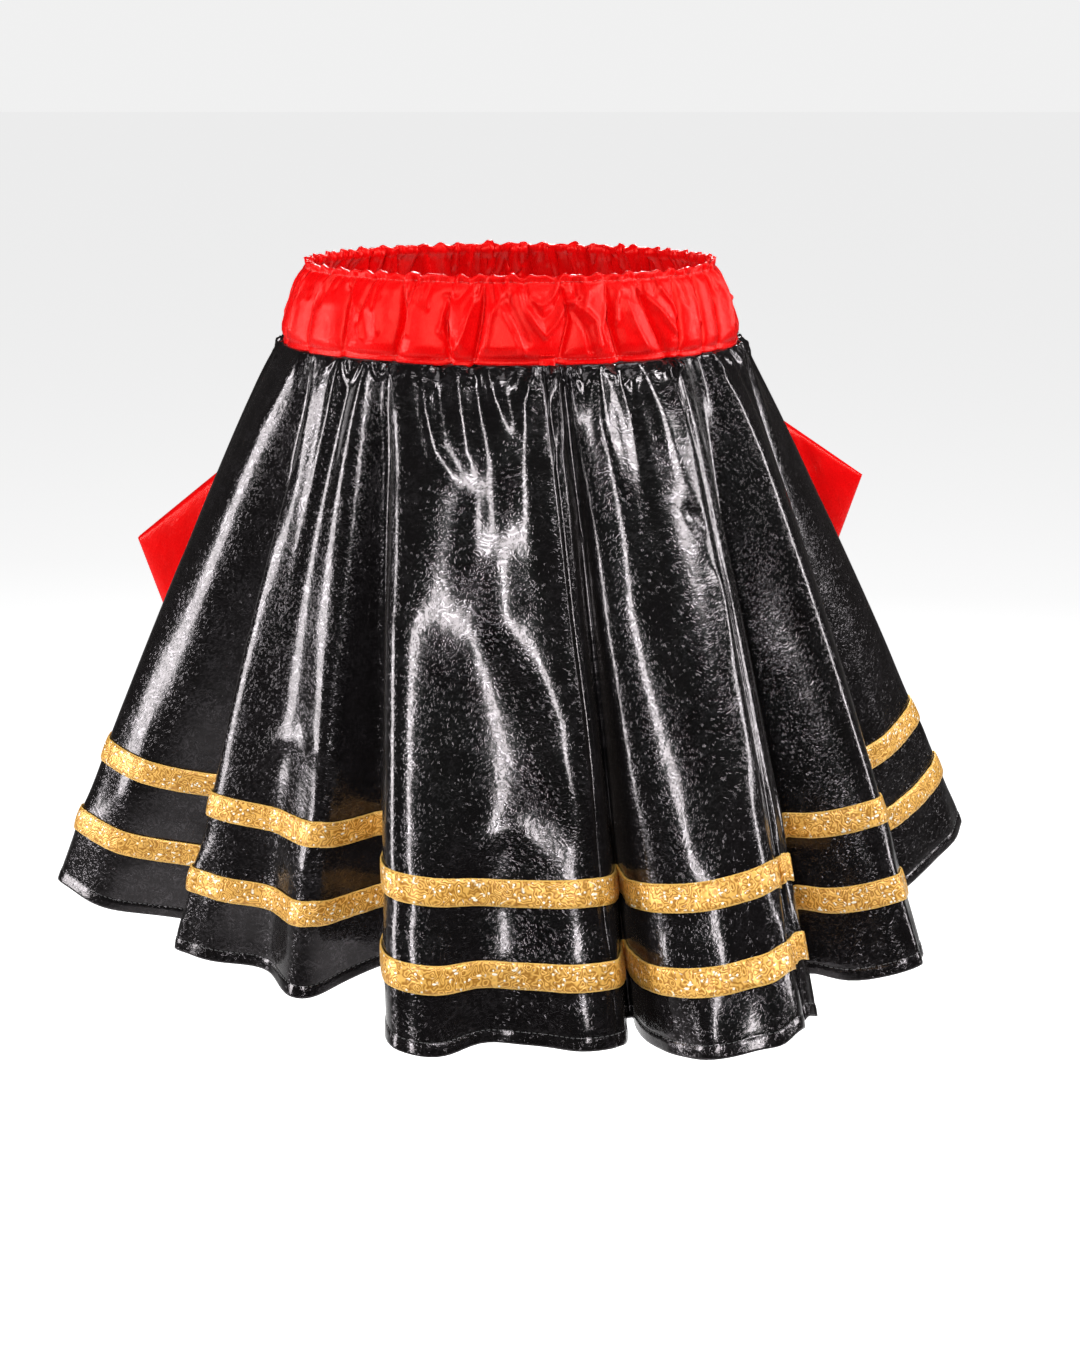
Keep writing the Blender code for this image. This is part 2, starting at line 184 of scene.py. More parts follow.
class ClothForm:
    """The skirt's surface, worked out from the table of flutes, with creases laid on it."""

    bulge = 0.0045
    bulge_height = 0.6
    steps = 24                      # samples from each station to the next
    smoothing = 7                   # samples averaged on each side, which rounds the stations off

    def __init__(self) -> None:
        """Sample the closed spline through the stations."""
        stations = [station for flute in FLUTES for station in flute.stations()]
        samples = [
            self._span(stations, index, step / self.steps)
            for index in range(STATION_COUNT)
            for step in range(self.steps)
        ]
        table = np.array(samples)
        table[:, 0] -= 360 * np.arange(len(table)) / len(table)
        kernel = np.hanning(2 * self.smoothing + 3)[1:-1]
        kernel /= kernel.sum()
        padded = np.concatenate([table[-self.smoothing:], table, table[: self.smoothing]])
        smooth = np.stack([np.convolve(padded[:, k], kernel, "valid") for k in range(4)], axis=1)
        smooth[:, 0] += 360 * np.arange(len(table)) / len(table)
        first_turn = smooth[:1] + np.array([360, 0, 0, 0])
        self.table = np.concatenate([smooth, first_turn])
        self.places = np.arange(len(self.table)) / self.steps
        self.creases: list[Crease] = []
        self.swags: list[Swag] = []
        self.waves: list[HemWave] = []

    @staticmethod
    def _span(stations: Sequence[tuple[float, ...]], index: int, share: float) -> tuple[float, ...]:
        """Return a point of the centripetal Catmull-Rom span after a station.

        Args:
            stations: all the stations, which close on themselves.
            index: the station that the span starts at.
            share: how far along the span, from 0 to 1.

        Returns:
            Root angle, plan x, plan y and dip.
        """
        corners = []
        for neighbour in range(index - 1, index + 3):
            root, *rest = stations[neighbour % STATION_COUNT]
            corners.append(np.array([root + 360 * (neighbour // STATION_COUNT), *rest]))
        knots = [0.0]
        for first, second in zip(corners, corners[1:]):
            knots.append(knots[-1] + math.sqrt(math.dist(first[1:3], second[1:3])))
        here = knots[1] + (knots[2] - knots[1]) * share

        def mix(low: np.ndarray, high: np.ndarray, start: float, stop: float) -> np.ndarray:
            """Return the point between two others as here lies between two knots."""
            return low + (high - low) * (here - start) / (stop - start)

        spans = [mix(corners[i], corners[i + 1], knots[i], knots[i + 1]) for i in range(3)]
        halves = [mix(spans[i], spans[i + 1], knots[i], knots[i + 2]) for i in range(2)]
        return tuple(mix(halves[0], halves[1], knots[1], knots[2]))

    def base(self, station: np.ndarray, down: np.ndarray) -> np.ndarray:
        """Return points of the smooth fluted surface, before any crease.

        Args:
            station: places along the hem, in stations, of any turn.
            down: distances down the cloth, in metres.

        Returns:
            An array of points, one for each pair.
        """
        wrapped = np.mod(station, STATION_COUNT)
        root, x, y, dip = (np.interp(wrapped, self.places, self.table[:, k]) for k in range(4))
        angle = np.radians(root)
        top = np.stack([HIP_HALF[0] * np.sin(angle), -HIP_HALF[1] * np.cos(angle)], axis=-1)
        line = np.stack([x, y], axis=-1) - top
        spread = np.linalg.norm(line, axis=-1)
        drop = np.sqrt((CLOTH_LENGTH + dip) ** 2 - spread**2)
        share = down / CLOTH_LENGTH
        outward = top / np.linalg.norm(top, axis=-1, keepdims=True)
        full = np.concatenate([line, -drop[..., None]], axis=-1)
        flat_out = np.concatenate([outward, np.zeros_like(drop)[..., None]], axis=-1)
        along = (flat_out * full).sum(-1) / (full**2).sum(-1)
        proud = flat_out - full * along[..., None]
        proud /= np.linalg.norm(proud, axis=-1, keepdims=True)
        bulge = self.bulge * 4 * np.clip(share, 0, 1) ** self.bulge_height * (1 - share)
        start = np.concatenate([top, np.full_like(drop, CLOTH_TOP)[..., None]], axis=-1)
        return start + full * share[..., None] + proud * bulge[..., None]

    def frame(self, station: np.ndarray, down: np.ndarray) -> tuple[np.ndarray, np.ndarray, np.ndarray]:
        """Work out the smooth surface and the way it faces.

        Args:
            station: places along the hem, in stations.
            down: distances down the cloth, in metres.

        Returns:
            Points, outward normals, and how many metres a station is at each.
        """
        step, drop = 0.02, 0.002
        point = self.base(station, down)
        around = (self.base(station + step, down) - self.base(station - step, down)) / (2 * step)
        below = self.base(station, down + drop) - self.base(station, down - drop)
        normal = np.cross(below, around)
        normal /= np.linalg.norm(normal, axis=-1, keepdims=True)
        return point, normal, np.linalg.norm(around, axis=-1)

    def relief(self, station: np.ndarray, down: np.ndarray, scale: np.ndarray) -> np.ndarray:
        """Return how far the creases, swags, waves and buckles stand out of the smooth surface.

        Args:
            station: places along the hem, in stations.
            down: distances down the cloth, in metres.
            scale: how many metres a station is at each place.

        Returns:
            Heights in metres.
        """
        height = np.zeros_like(down)
        for crease in self.creases:
            height += self._crease_height(crease, station, down, scale)
        for swag in self.swags:
            height += self._swag_height(swag, station, down, scale)
        low = self._lowness(down)
        for wave in self.waves:
            height += wave.out * low * self._swell(wave, station)
        return height + self._buckles(station, down)

    def lift(self, station: np.ndarray, down: np.ndarray) -> np.ndarray:
        """Return how far the hem's waves raise each place."""
        return self._lowness(down) * sum(wave.lift * self._swell(wave, station) for wave in self.waves)

    @staticmethod
    def _lowness(down: np.ndarray) -> np.ndarray:
        """Return how far each place feels the hem's waves, from 0 high up to 1 at the hem."""
        return np.clip((down - WAVE_TOP) / (CLOTH_LENGTH - WAVE_TOP), 0, 1) ** 2

    def _swell(self, wave: HemWave, station: np.ndarray) -> np.ndarray:
        """Return one wave's strength along the hem, 1 at its middle."""
        return np.exp(-((self.apart(station, wave.station) / wave.size) ** 2))

    def _buckles(self, station: np.ndarray, down: np.ndarray) -> np.ndarray:
        """Return the dents and swells that the stiff ribbons force on the cloth near the hem."""
        values = np.random.default_rng(11).uniform(-1, 1, (4, 3 * STATION_COUNT))
        place = np.mod(station, STATION_COUNT) * 3
        first = np.floor(place).astype(int)
        share = place - first
        share = share * share * (3 - 2 * share)
        rows = [row[first % len(row)] * (1 - share) + row[(first + 1) % len(row)] * share for row in values]
        centres = CLOTH_LENGTH - np.array([0.118, 0.082, 0.050, 0.010])
        sizes = (0.0010, 0.0014, 0.0020, 0.0026)
        widths = (0.024, 0.014, 0.012, 0.020)
        height = np.zeros_like(down)
        for row, centre, size, width in zip(rows, centres, sizes, widths):
            height = height + size * row * np.exp(-(((down - centre) / width) ** 2))
        return height

    @staticmethod
    def apart(station: np.ndarray, centre: np.ndarray | float) -> np.ndarray:
        """Return how many stations one place is from another, the shorter way round."""
        half = STATION_COUNT / 2
        return np.mod(station - centre + half, STATION_COUNT) - half

    def _crease_height(
        self, crease: Crease, station: np.ndarray, down: np.ndarray, scale: np.ndarray
    ) -> np.ndarray:
        """Return one crease's height at each place, worked out only near its line."""
        height = np.zeros_like(down)
        stations, downs = zip(*crease.path)
        reach = 3 * max(crease.width)
        middle, half = (min(stations) + max(stations)) / 2, (max(stations) - min(stations)) / 2
        near = (np.abs(self.apart(station, middle)) - half) * scale < reach
        near &= (down > min(downs) - reach) & (down < max(downs) + reach)
        if not near.any():
            return height
        station, down, scale = station[near], down[near], scale[near]
        away, along = np.full_like(down, 9.0), np.zeros_like(down)
        for index, ((first, top), (last, bottom)) in enumerate(zip(crease.path, crease.path[1:])):
            x, y = self.apart(station, first) * scale, down - top
            line_x, line_y = (last - first) * scale, bottom - top
            part = np.clip((x * line_x + y * line_y) / (line_x**2 + line_y**2), 0, 1)
            here = np.hypot(x - part * line_x, y - part * line_y)
            along = np.where(here < away, index + part, along)
            away = np.minimum(away, here)
        share = along / (len(crease.path) - 1)
        width = crease.width[0] + (crease.width[1] - crease.width[0]) * share
        tall = crease.height[0] + (crease.height[1] - crease.height[0]) * share
        ends = 1 - share ** (2 if downs[0] == 0 else 6)
        ends = ends if downs[0] == 0 else ends * np.clip(4 * share, 0, 1)
        height[near] = tall * np.exp(-((away / width) ** 2)) * ends
        return height

    def _swag_height(
        self, swag: Swag, station: np.ndarray, down: np.ndarray, scale: np.ndarray
    ) -> np.ndarray:
        """Return one swag's height at each place."""
        across = self.apart(station, swag.station) * scale / swag.half_width
        hang = swag.depth * (1 - across**2)
        ridge = np.exp(-(((down - hang) / (0.22 * swag.depth + 0.0008)) ** 2))
        inside = np.clip(1.15 - np.abs(across), 0, 1)
        return swag.height * ridge * np.minimum(1, 3 * inside) * (np.abs(across) < 1.15)


# ---------------------------------------------------------------------------------------------------------
# Mesh helpers
# ---------------------------------------------------------------------------------------------------------


def new_object(name: str, work: bmesh.types.BMesh) -> bpy.types.Object:
    """Turn a bmesh into a smooth-shaded object of the scene.

    Args:
        name: the piece's name.
        work: its shape, which is freed.

    Returns:
        The new object.
    """
    mesh = bpy.data.meshes.new(name)
    work.to_mesh(mesh)
    work.free()
    mesh.shade_smooth()
    piece = bpy.data.objects.new(name, mesh)
    bpy.context.scene.collection.objects.link(piece)
    return piece


def cloth_grid(
    name: str, points: np.ndarray, flat: np.ndarray, ring_columns: bool = False
) -> bpy.types.Object:
    """Make a sheet from Blender's grid, with each vertex laid in its place.

    Args:
        name: the piece's name.
        points: places as rows, top row first, by columns, from left to right seen from outside, by 3.
        flat: the same places on the flat cloth in metres, by 2, which become the UV map.
        ring_columns: whether the last column lies on the first and is sewn to it.

    Returns:
        The new object.
    """
    rows, columns = points.shape[:2]
    work = bmesh.new()
    bmesh.ops.create_grid(work, x_segments=columns - 1, y_segments=rows - 1, size=1.0)
    piece = new_object(name, work)
    mesh = piece.data
    place = np.empty(3 * len(mesh.vertices))
    mesh.vertices.foreach_get("co", place)
    place = place.reshape(-1, 3)
    column = np.rint((place[:, 0] + 1) / 2 * (columns - 1)).astype(int)
    row = np.rint((1 - place[:, 1]) / 2 * (rows - 1)).astype(int)
    mesh.vertices.foreach_set("co", points[row, column].astype(np.float32).ravel())
    corner = np.empty(len(mesh.loops), dtype=int)
    mesh.loops.foreach_get("vertex_index", corner)
    layer = mesh.uv_layers.new(name="flat")
    layer.data.foreach_set("uv", flat[row[corner], column[corner]].astype(np.float32).ravel())
    mesh.update()
    if ring_columns:
        work = bmesh.new()
        work.from_mesh(mesh)
        edge = [vert for vert in work.verts if vert.is_boundary]
        bmesh.ops.remove_doubles(work, verts=edge, dist=1e-6)
        work.to_mesh(mesh)
        work.free()
        mesh.shade_smooth()
    return piece


def face_outwards(piece: bpy.types.Object, merge: float = 0.0) -> None:
    """Turn a sheet's faces outwards, once open edges nearer than the merge distance are sewn together."""
    work = bmesh.new()
    work.from_mesh(piece.data)
    if merge:
        edge = [vert for vert in work.verts if vert.is_boundary]
        bmesh.ops.remove_doubles(work, verts=edge, dist=merge)
    bmesh.ops.recalc_face_normals(work, faces=work.faces)
    work.to_mesh(piece.data)
    work.free()
    piece.data.shade_smooth()


def give_wall(piece: bpy.types.Object, thickness: float, offset: float = -1.0) -> None:
    """Give a sheet its thickness: inwards for an offset of -1, outwards for 1."""
    wall = piece.modifiers.new("wall", "SOLIDIFY")
    wall.thickness = thickness
    wall.offset = offset


def running_length(points: np.ndarray) -> np.ndarray:
    """Return the distance from the first point to each one along a row of points."""
    steps = np.linalg.norm(np.diff(points, axis=0), axis=1)
    return np.concatenate([[0.0], np.cumsum(steps)])


def sew_row(
    name: str, points: np.ndarray, outward: np.ndarray, pitch: float, length: float, thickness: float
) -> bpy.types.Object:
    """Lay a row of stitches along a line of points on the cloth.

    Args:
        name: the piece's name.
        points: places along the line, close together.
        outward: the cloth's outward direction at each place.
        pitch: how far each stitch is from the next.
        length: how long the thread shows between its two holes.
        thickness: the thread's diameter.

    Returns:
        The new object, with every stitch in one mesh.
    """
    along = running_length(points)
    count = int(along[-1] / pitch)
    near = pitch * np.arange(count)

    def at(place: np.ndarray, rows: np.ndarray) -> np.ndarray:
        """Return the rows' values at places along the line."""
        return np.stack([np.interp(place, along, rows[:, k]) for k in range(3)], axis=1)

    start, stop, out = at(near, points), at(near + length, points), at(near + length / 2, outward)
    work = bmesh.new()
    handful = bmesh.new()
    for index in range(count):
        first, last = Vector(start[index]), Vector(stop[index])
        way = (last - first).normalized()
        side = Vector(out[index]).cross(way).normalized()
        over = way.cross(side)
        turn = Matrix((side, over, way)).transposed().to_4x4()
        size = Matrix.Diagonal((thickness / 2, thickness / 2.6, (last - first).length / 2, 1.0))
        place = Matrix.Translation((first + last) / 2 + over * thickness * 0.12)
        bmesh.ops.create_uvsphere(handful, u_segments=6, v_segments=4, radius=1.0, matrix=place @ turn @ size)
        if index % 40 == 39 or index == count - 1:
            mesh = bpy.data.meshes.new(name)
            handful.to_mesh(mesh)
            work.from_mesh(mesh)
            bpy.data.meshes.remove(mesh)
            handful.clear()
    handful.free()
    return new_object(name, work)


# ---------------------------------------------------------------------------------------------------------
# Finishes
# ---------------------------------------------------------------------------------------------------------


class Nodes:
    """Adds nodes to a tree and links them as they are added."""

    def __init__(self, tree: bpy.types.NodeTree) -> None:
        """Keep the tree that nodes are added to."""
        self.tree = tree

    def add(
        self, kind: str, inputs: dict[object, object] | None = None, **settings: object
    ) -> bpy.types.Node:
        """Add a node, with its settings, and its inputs as values or as sockets to link from."""
        node = self.tree.nodes.new(kind)
        for name, value in settings.items():
            setattr(node, name, value)
        for key, value in (inputs or {}).items():
            if isinstance(value, bpy.types.NodeSocket):
                self.tree.links.new(value, node.inputs[key])
            else:
                node.inputs[key].default_value = value
        return node

    def math(self, operation: str, *values: object) -> bpy.types.NodeSocket:
        """Add a Math node of an operation and return its result."""
        return self.add("ShaderNodeMath", dict(enumerate(values)), operation=operation).outputs[0]

    def smooth(self, value: bpy.types.NodeSocket, low: float, high: float) -> bpy.types.NodeSocket:
        """Return 0 below low and 1 above high, with a smooth rise between."""
        node = self.add("ShaderNodeMapRange", {"Value": value, "From Min": low, "From Max": high})
        node.interpolation_type = "SMOOTHSTEP"
        return node.outputs["Result"]

    def spread(self, noise: bpy.types.NodeSocket, low: float, high: float) -> bpy.types.NodeSocket:
        """Return low where a noise is 0.3 or less, high where it is 0.7 or more, and between them between."""
        limits = {"From Min": 0.3, "From Max": 0.7, "To Min": low, "To Max": high}
        return self.add("ShaderNodeMapRange", {"Value": noise, **limits}).outputs["Result"]

    def blend(self, share: object, low: object, high: object) -> bpy.types.NodeSocket:
        """Return a mix of two colours."""
        node = self.tree.nodes.new("ShaderNodeMix")
        node.data_type = "RGBA"
        for index, value in ((0, share), (6, low), (7, high)):
            if isinstance(value, bpy.types.NodeSocket):
                self.tree.links.new(value, node.inputs[index])
            else:
                node.inputs[index].default_value = value
        return node.outputs[2]


def new_group(name: str, values: dict[str, float], results: Iterable[str]) -> tuple[Nodes, object, object]:
    """Start a shader node group with a vector input, named values and named results.

    Args:
        name: the group's name.
        values: its number inputs, with their usual values.
        results: the names of its number outputs.

    Returns:
        Its nodes, its input node and its output node.
    """
    tree = bpy.data.node_groups.new(name, "ShaderNodeTree")
    tree.interface.new_socket("Vector", in_out="INPUT", socket_type="NodeSocketVector")
    for label, value in values.items():
        socket = tree.interface.new_socket(label, in_out="INPUT", socket_type="NodeSocketFloat")
        socket.default_value = value
    for label in results:
        tree.interface.new_socket(label, in_out="OUTPUT", socket_type="NodeSocketFloat")
    nodes = Nodes(tree)
    return nodes, nodes.add("NodeGroupInput"), nodes.add("NodeGroupOutput")


class Effects:
    """The node groups that the finishes share, each made once."""

    def __init__(self) -> None:
        """Make every group."""
        self.worms = self._worms()
        self.dots = self._dots()
        self.grain = self._grain()

    @staticmethod
    def _worms() -> bpy.types.NodeTree:
        """Fine curved strokes: the contour lines of a noise, broken into short lengths.

        Size is the noise's period in metres, Turns how many lines it has, Width their share of the gap
        and Broken how much of them is left out.
        """
        nodes, given, made = new_group(
            "curved_strokes", {"Size": 0.004, "Turns": 7.0, "Width": 0.3, "Broken": 0.5}, ("Lines", "Swell")
        )
        scale = nodes.math("DIVIDE", 1.0, given.outputs["Size"])
        noise = nodes.add(
            "ShaderNodeTexNoise",
            {"Vector": given.outputs["Vector"], "Scale": scale, "Detail": 1.0, "Roughness": 0.45},
        )
        turns = nodes.math("MULTIPLY", noise.outputs[0], given.outputs["Turns"])
        wave = nodes.math("PINGPONG", turns, 0.5)
        ridge = nodes.math("SUBTRACT", 1.0, nodes.math("DIVIDE", wave, given.outputs["Width"]))
        ridge = nodes.smooth(ridge, 0.0, 1.0)
        breaks = nodes.add(
            "ShaderNodeTexNoise",
            {"Vector": given.outputs["Vector"], "Scale": nodes.math("MULTIPLY", scale, 1.7), "Detail": 0.0},
        )
        share = nodes.math("MULTIPLY", given.outputs["Broken"], 0.5)
        left_out = nodes.math("SUBTRACT", breaks.outputs[0], share)
        kept = nodes.smooth(left_out, 0.16, 0.30)
        lines = nodes.math("MULTIPLY", ridge, kept)
        nodes.tree.links.new(lines, made.inputs["Lines"])
        nodes.tree.links.new(noise.outputs[0], made.inputs["Swell"])
        return nodes.tree

    @staticmethod
    def _dots() -> bpy.types.NodeTree:
        """Round dots scattered at random.

        Size is their spacing, Width their radius and Share how many show.
        """
        nodes, given, made = new_group(
            "scattered_dots", {"Size": 0.003, "Width": 0.2, "Share": 0.5}, ("Dots", "Tint")
        )
        scale = nodes.math("DIVIDE", 1.0, given.outputs["Size"])
        cells = nodes.add("ShaderNodeTexVoronoi", {"Vector": given.outputs["Vector"], "Scale": scale})
        tint = nodes.add("ShaderNodeSeparateColor", {0: cells.outputs["Color"]})
        distance = nodes.math("DIVIDE", cells.outputs["Distance"], given.outputs["Width"])
        round_dot = nodes.math("SUBTRACT", 1.0, distance)
        round_dot = nodes.smooth(round_dot, 0.0, 0.4)
        shown = nodes.math("LESS_THAN", tint.outputs[0], given.outputs["Share"])
        nodes.tree.links.new(nodes.math("MULTIPLY", round_dot, shown), made.inputs["Dots"])
        nodes.tree.links.new(tint.outputs[1], made.inputs["Tint"])
        return nodes.tree

    @staticmethod
    def _grain() -> bpy.types.NodeTree:
        """The fine grain of satin: floats that run one way, crossed by slight slubs.

        Size is one float's length.
        """
        nodes, given, made = new_group("satin_grain", {"Size": 0.002}, ("Grain", "Cloud"))
        scale = nodes.math("DIVIDE", 1.0, given.outputs["Size"])
        squeeze = nodes.add(
            "ShaderNodeMapping", {"Vector": given.outputs["Vector"], "Scale": (6.0, 1.0, 1.0)}
        )
        floats = nodes.add(
            "ShaderNodeTexNoise",
            {"Vector": squeeze.outputs[0], "Scale": scale, "Detail": 2.0, "Roughness": 0.6},
        )
        cloud = nodes.add(
            "ShaderNodeTexNoise",
            {"Vector": given.outputs["Vector"], "Scale": nodes.math("MULTIPLY", scale, 0.15), "Detail": 2.0},
        )
        nodes.tree.links.new(floats.outputs[0], made.inputs["Grain"])
        nodes.tree.links.new(cloud.outputs[0], made.inputs["Cloud"])
        return nodes.tree


@dataclass(frozen=True)
class Finish:
    """What every finish has: its material's name and the record's slot it stands for."""

    name: str
    slot: Slot

    def start(self) -> tuple[bpy.types.Material, Nodes, bpy.types.NodeSocket]:
        """Make the material.

        Returns:
            The material, its nodes and the flat cloth's coordinates.
        """
        material = bpy.data.materials.new(self.name)
        material.use_nodes = True
        nodes = Nodes(material.node_tree)
        return material, nodes, nodes.add("ShaderNodeUVMap", uv_map="flat").outputs[0]

    def finish(self, material: bpy.types.Material, inputs: dict[str, object]) -> bpy.types.Material:
        """Give the material's shader its inputs, each a socket to link from or a value, and return it."""
        shader = material.node_tree.nodes["Principled BSDF"]
        for name, value in inputs.items():
            if isinstance(value, bpy.types.NodeSocket):
                material.node_tree.links.new(value, shader.inputs[name])
            else:
                shader.inputs[name].default_value = value
        return material

    def group(
        self, nodes: Nodes, tree: bpy.types.NodeTree, vector: object, **values: float
    ) -> bpy.types.Node:
        """Place a shared group in the material with its own values."""
        return nodes.add("ShaderNodeGroup", {"Vector": vector, **values}, node_tree=tree)

    def bump(
        self, nodes: Nodes, height: object, distance: float, below: object = None
    ) -> bpy.types.NodeSocket:
        """Return a normal with a height in metres laid on the one below it."""
        inputs = {"Height": height, "Distance": distance, "Strength": 1.0}
        if below is not None:
            inputs["Normal"] = below
        return nodes.add("ShaderNodeBump", inputs).outputs[0]

    def build(self, effects: Effects) -> bpy.types.Material:
        """Make the material from the shared effects."""
        raise NotImplementedError


@dataclass(frozen=True)
class FoilCloth(Finish):
    """Black knit with a foil face that has cracked into fine curved strokes."""

    dark: tuple[float, float, float, float] = (0.026, 0.023, 0.024, 1.0)
    bright: tuple[float, float, float, float] = (0.105, 0.095, 0.102, 1.0)
    roughness: float = 0.11

    def build(self, effects: Effects) -> bpy.types.Material:
        """Make the material from the shared effects."""
        material, nodes, flat = self.start()
        fine = self.group(nodes, effects.worms, flat, Size=0.0042, Turns=9.0, Width=0.26, Broken=0.35)
        broad = self.group(nodes, effects.worms, flat, Size=0.011, Turns=8.0, Width=0.34, Broken=0.6)
        cloud = nodes.add(
            "ShaderNodeTexNoise", {"Vector": flat, "Scale": 60.0, "Detail": 3.0, "Roughness": 0.6}
        )
        faint = nodes.math("MULTIPLY", broad.outputs["Lines"], 0.6)
        strokes = nodes.math("MAXIMUM", fine.outputs["Lines"], faint)
        shade = nodes.math("MULTIPLY", strokes, nodes.smooth(cloud.outputs[0], 0.25, 0.75))
        colour = nodes.blend(shade, self.dark, self.bright)
        rough = nodes.spread(cloud.outputs[0], self.roughness - 0.03, self.roughness + 0.05)
        normal = self.bump(nodes, cloud.outputs[0], 0.00026)
        normal = self.bump(nodes, fine.outputs["Swell"], 0.00014, normal)
        normal = self.bump(nodes, strokes, 0.00004, normal)
        return self.finish(material, {
            "Base Color": colour, "Roughness": rough, "Normal": normal, "Metallic": 0.85,
            "Specular IOR Level": 0.6, "Coat Weight": 0.15, "Coat Roughness": 0.18,
            "Sheen Weight": 0.02, "Sheen Roughness": 0.5, "Sheen Tint": (0.75, 0.62, 0.55, 1.0),
        })


@dataclass(frozen=True)
class Satin(Finish):
    """Red satin, with a soft broad shine and a fine grain."""

    colour: tuple[float, float, float, float] = (0.80, 0.002, 0.003, 1.0)
    deep: tuple[float, float, float, float] = (0.56, 0.001, 0.0015, 1.0)
    roughness: float = 0.27

    def build(self, effects: Effects) -> bpy.types.Material:
        """Make the material from the shared effects."""
        material, nodes, flat = self.start()
        grain = self.group(nodes, effects.grain, flat, Size=0.0022)
        tone = nodes.smooth(grain.outputs["Grain"], 0.25, 0.75)
        cloud = nodes.math("MULTIPLY", grain.outputs["Cloud"], 0.9)
        tone = nodes.math("ADD", nodes.math("MULTIPLY", tone, 0.35), cloud)
        colour = nodes.blend(nodes.math("MINIMUM", tone, 1.0), self.deep, self.colour)
        rough = nodes.spread(grain.outputs["Grain"], self.roughness - 0.06, self.roughness + 0.06)
        normal = self.bump(nodes, grain.outputs["Cloud"], 0.0008)
        normal = self.bump(nodes, grain.outputs["Grain"], 0.00012, normal)
        return self.finish(material, {
            "Base Color": colour, "Roughness": rough, "Normal": normal,
            "Specular IOR Level": 0.6, "Specular Tint": (1.0, 0.18, 0.14, 1.0),
            "Sheen Weight": 0.03, "Sheen Roughness": 0.4, "Sheen Tint": (1.0, 0.30, 0.26, 1.0),
        })


@dataclass(frozen=True)
class GlitterRibbon(Finish):
    """Gold ribbon: metal squiggles and loose glitter between two smooth selvedges; the glitter's near-white
    is partly a painted glint.
    """

    gold: tuple[float, float, float, float] = (0.90, 0.51, 0.115, 1.0)
    shade: tuple[float, float, float, float] = (0.40, 0.17, 0.018, 1.0)
    rim: tuple[float, float, float, float] = (0.95, 0.58, 0.14, 1.0)
    # the glitter's near-white: partly its own colour, partly a painted glint that stays bright even in shade
    pale: tuple[float, float, float, float] = (1.0, 0.95, 0.78, 1.0)
    width: float = 0.016
    selvedge: float = 0.0007

    def build(self, effects: Effects) -> bpy.types.Material:
        """Make the material from the shared effects."""
        material, nodes, flat = self.start()
        maze = self.group(nodes, effects.worms, flat, Size=0.0062, Turns=8.0, Width=0.5, Broken=0.0)
        dots = self.group(nodes, effects.dots, flat, Size=0.0030, Width=0.30, Share=0.50)
        stretched = nodes.add("ShaderNodeMapping", {"Vector": flat, "Scale": (0.45, 1.0, 1.0),
                                                    "Rotation": (0.0, 0.0, 0.35)})
        drops = self.group(nodes, effects.dots, stretched.outputs[0], Size=0.0040, Width=0.22, Share=0.40)
        glitter_and_glints = nodes.math("MAXIMUM", dots.outputs["Dots"], drops.outputs["Dots"])
        strokes = self.group(nodes, effects.worms, flat, Size=0.0085, Turns=5.0, Width=0.20, Broken=0.95)
        glitter_and_glints = nodes.math("MAXIMUM", glitter_and_glints, strokes.outputs["Lines"])
        across = nodes.add("ShaderNodeSeparateXYZ", {0: flat}).outputs[1]
        from_edge = nodes.math("MINIMUM", across, nodes.math("SUBTRACT", self.width, across))
        edge = nodes.math("SUBTRACT", 1.0, nodes.smooth(from_edge, self.selvedge * 0.7, self.selvedge * 1.3))
        colour = nodes.blend(maze.outputs["Lines"], self.shade, self.gold)
        # painted glint: the glitter turns near-white, partly its own colour and partly painted sparkle that
        # shows even in shade
        colour = nodes.blend(glitter_and_glints, colour, self.pale)
        colour = nodes.blend(nodes.math("MULTIPLY", edge, 0.8), colour, self.rim)
        normal = self.bump(nodes, maze.outputs["Swell"], 0.0006)
        normal = self.bump(nodes, maze.outputs["Lines"], 0.00010, normal)
        normal = self.bump(nodes, glitter_and_glints, 0.00018, normal)
        rough = nodes.math("SUBTRACT", 0.38, nodes.math("MULTIPLY", glitter_and_glints, 0.14))
        metal = nodes.math("SUBTRACT", 0.25, nodes.math("MULTIPLY", glitter_and_glints, 0.20))
        return self.finish(
            material, {"Base Color": colour, "Roughness": rough, "Normal": normal, "Metallic": metal}
        )


@dataclass(frozen=True)
class Thread(Finish):
    """Sewing thread, with the twist of its plies."""

    colour: tuple[float, float, float, float] = (0.02, 0.02, 0.02, 1.0)
    light: tuple[float, float, float, float] = (0.10, 0.10, 0.10, 1.0)

    def build(self, effects: Effects) -> bpy.types.Material:
        """Make the material from the shared effects."""
        material, nodes, _ = self.start()
        place = nodes.add("ShaderNodeTexCoord").outputs["Object"]
        twist = nodes.add("ShaderNodeTexNoise", {"Vector": place, "Scale": 2500.0, "Detail": 1.0})
        colour = nodes.blend(nodes.smooth(twist.outputs[0], 0.35, 0.65), self.colour, self.light)
        normal = self.bump(nodes, twist.outputs[0], 0.0001)
        return self.finish(
            material, {"Base Color": colour, "Normal": normal, "Roughness": 0.55, "Sheen Weight": 0.2}
        )


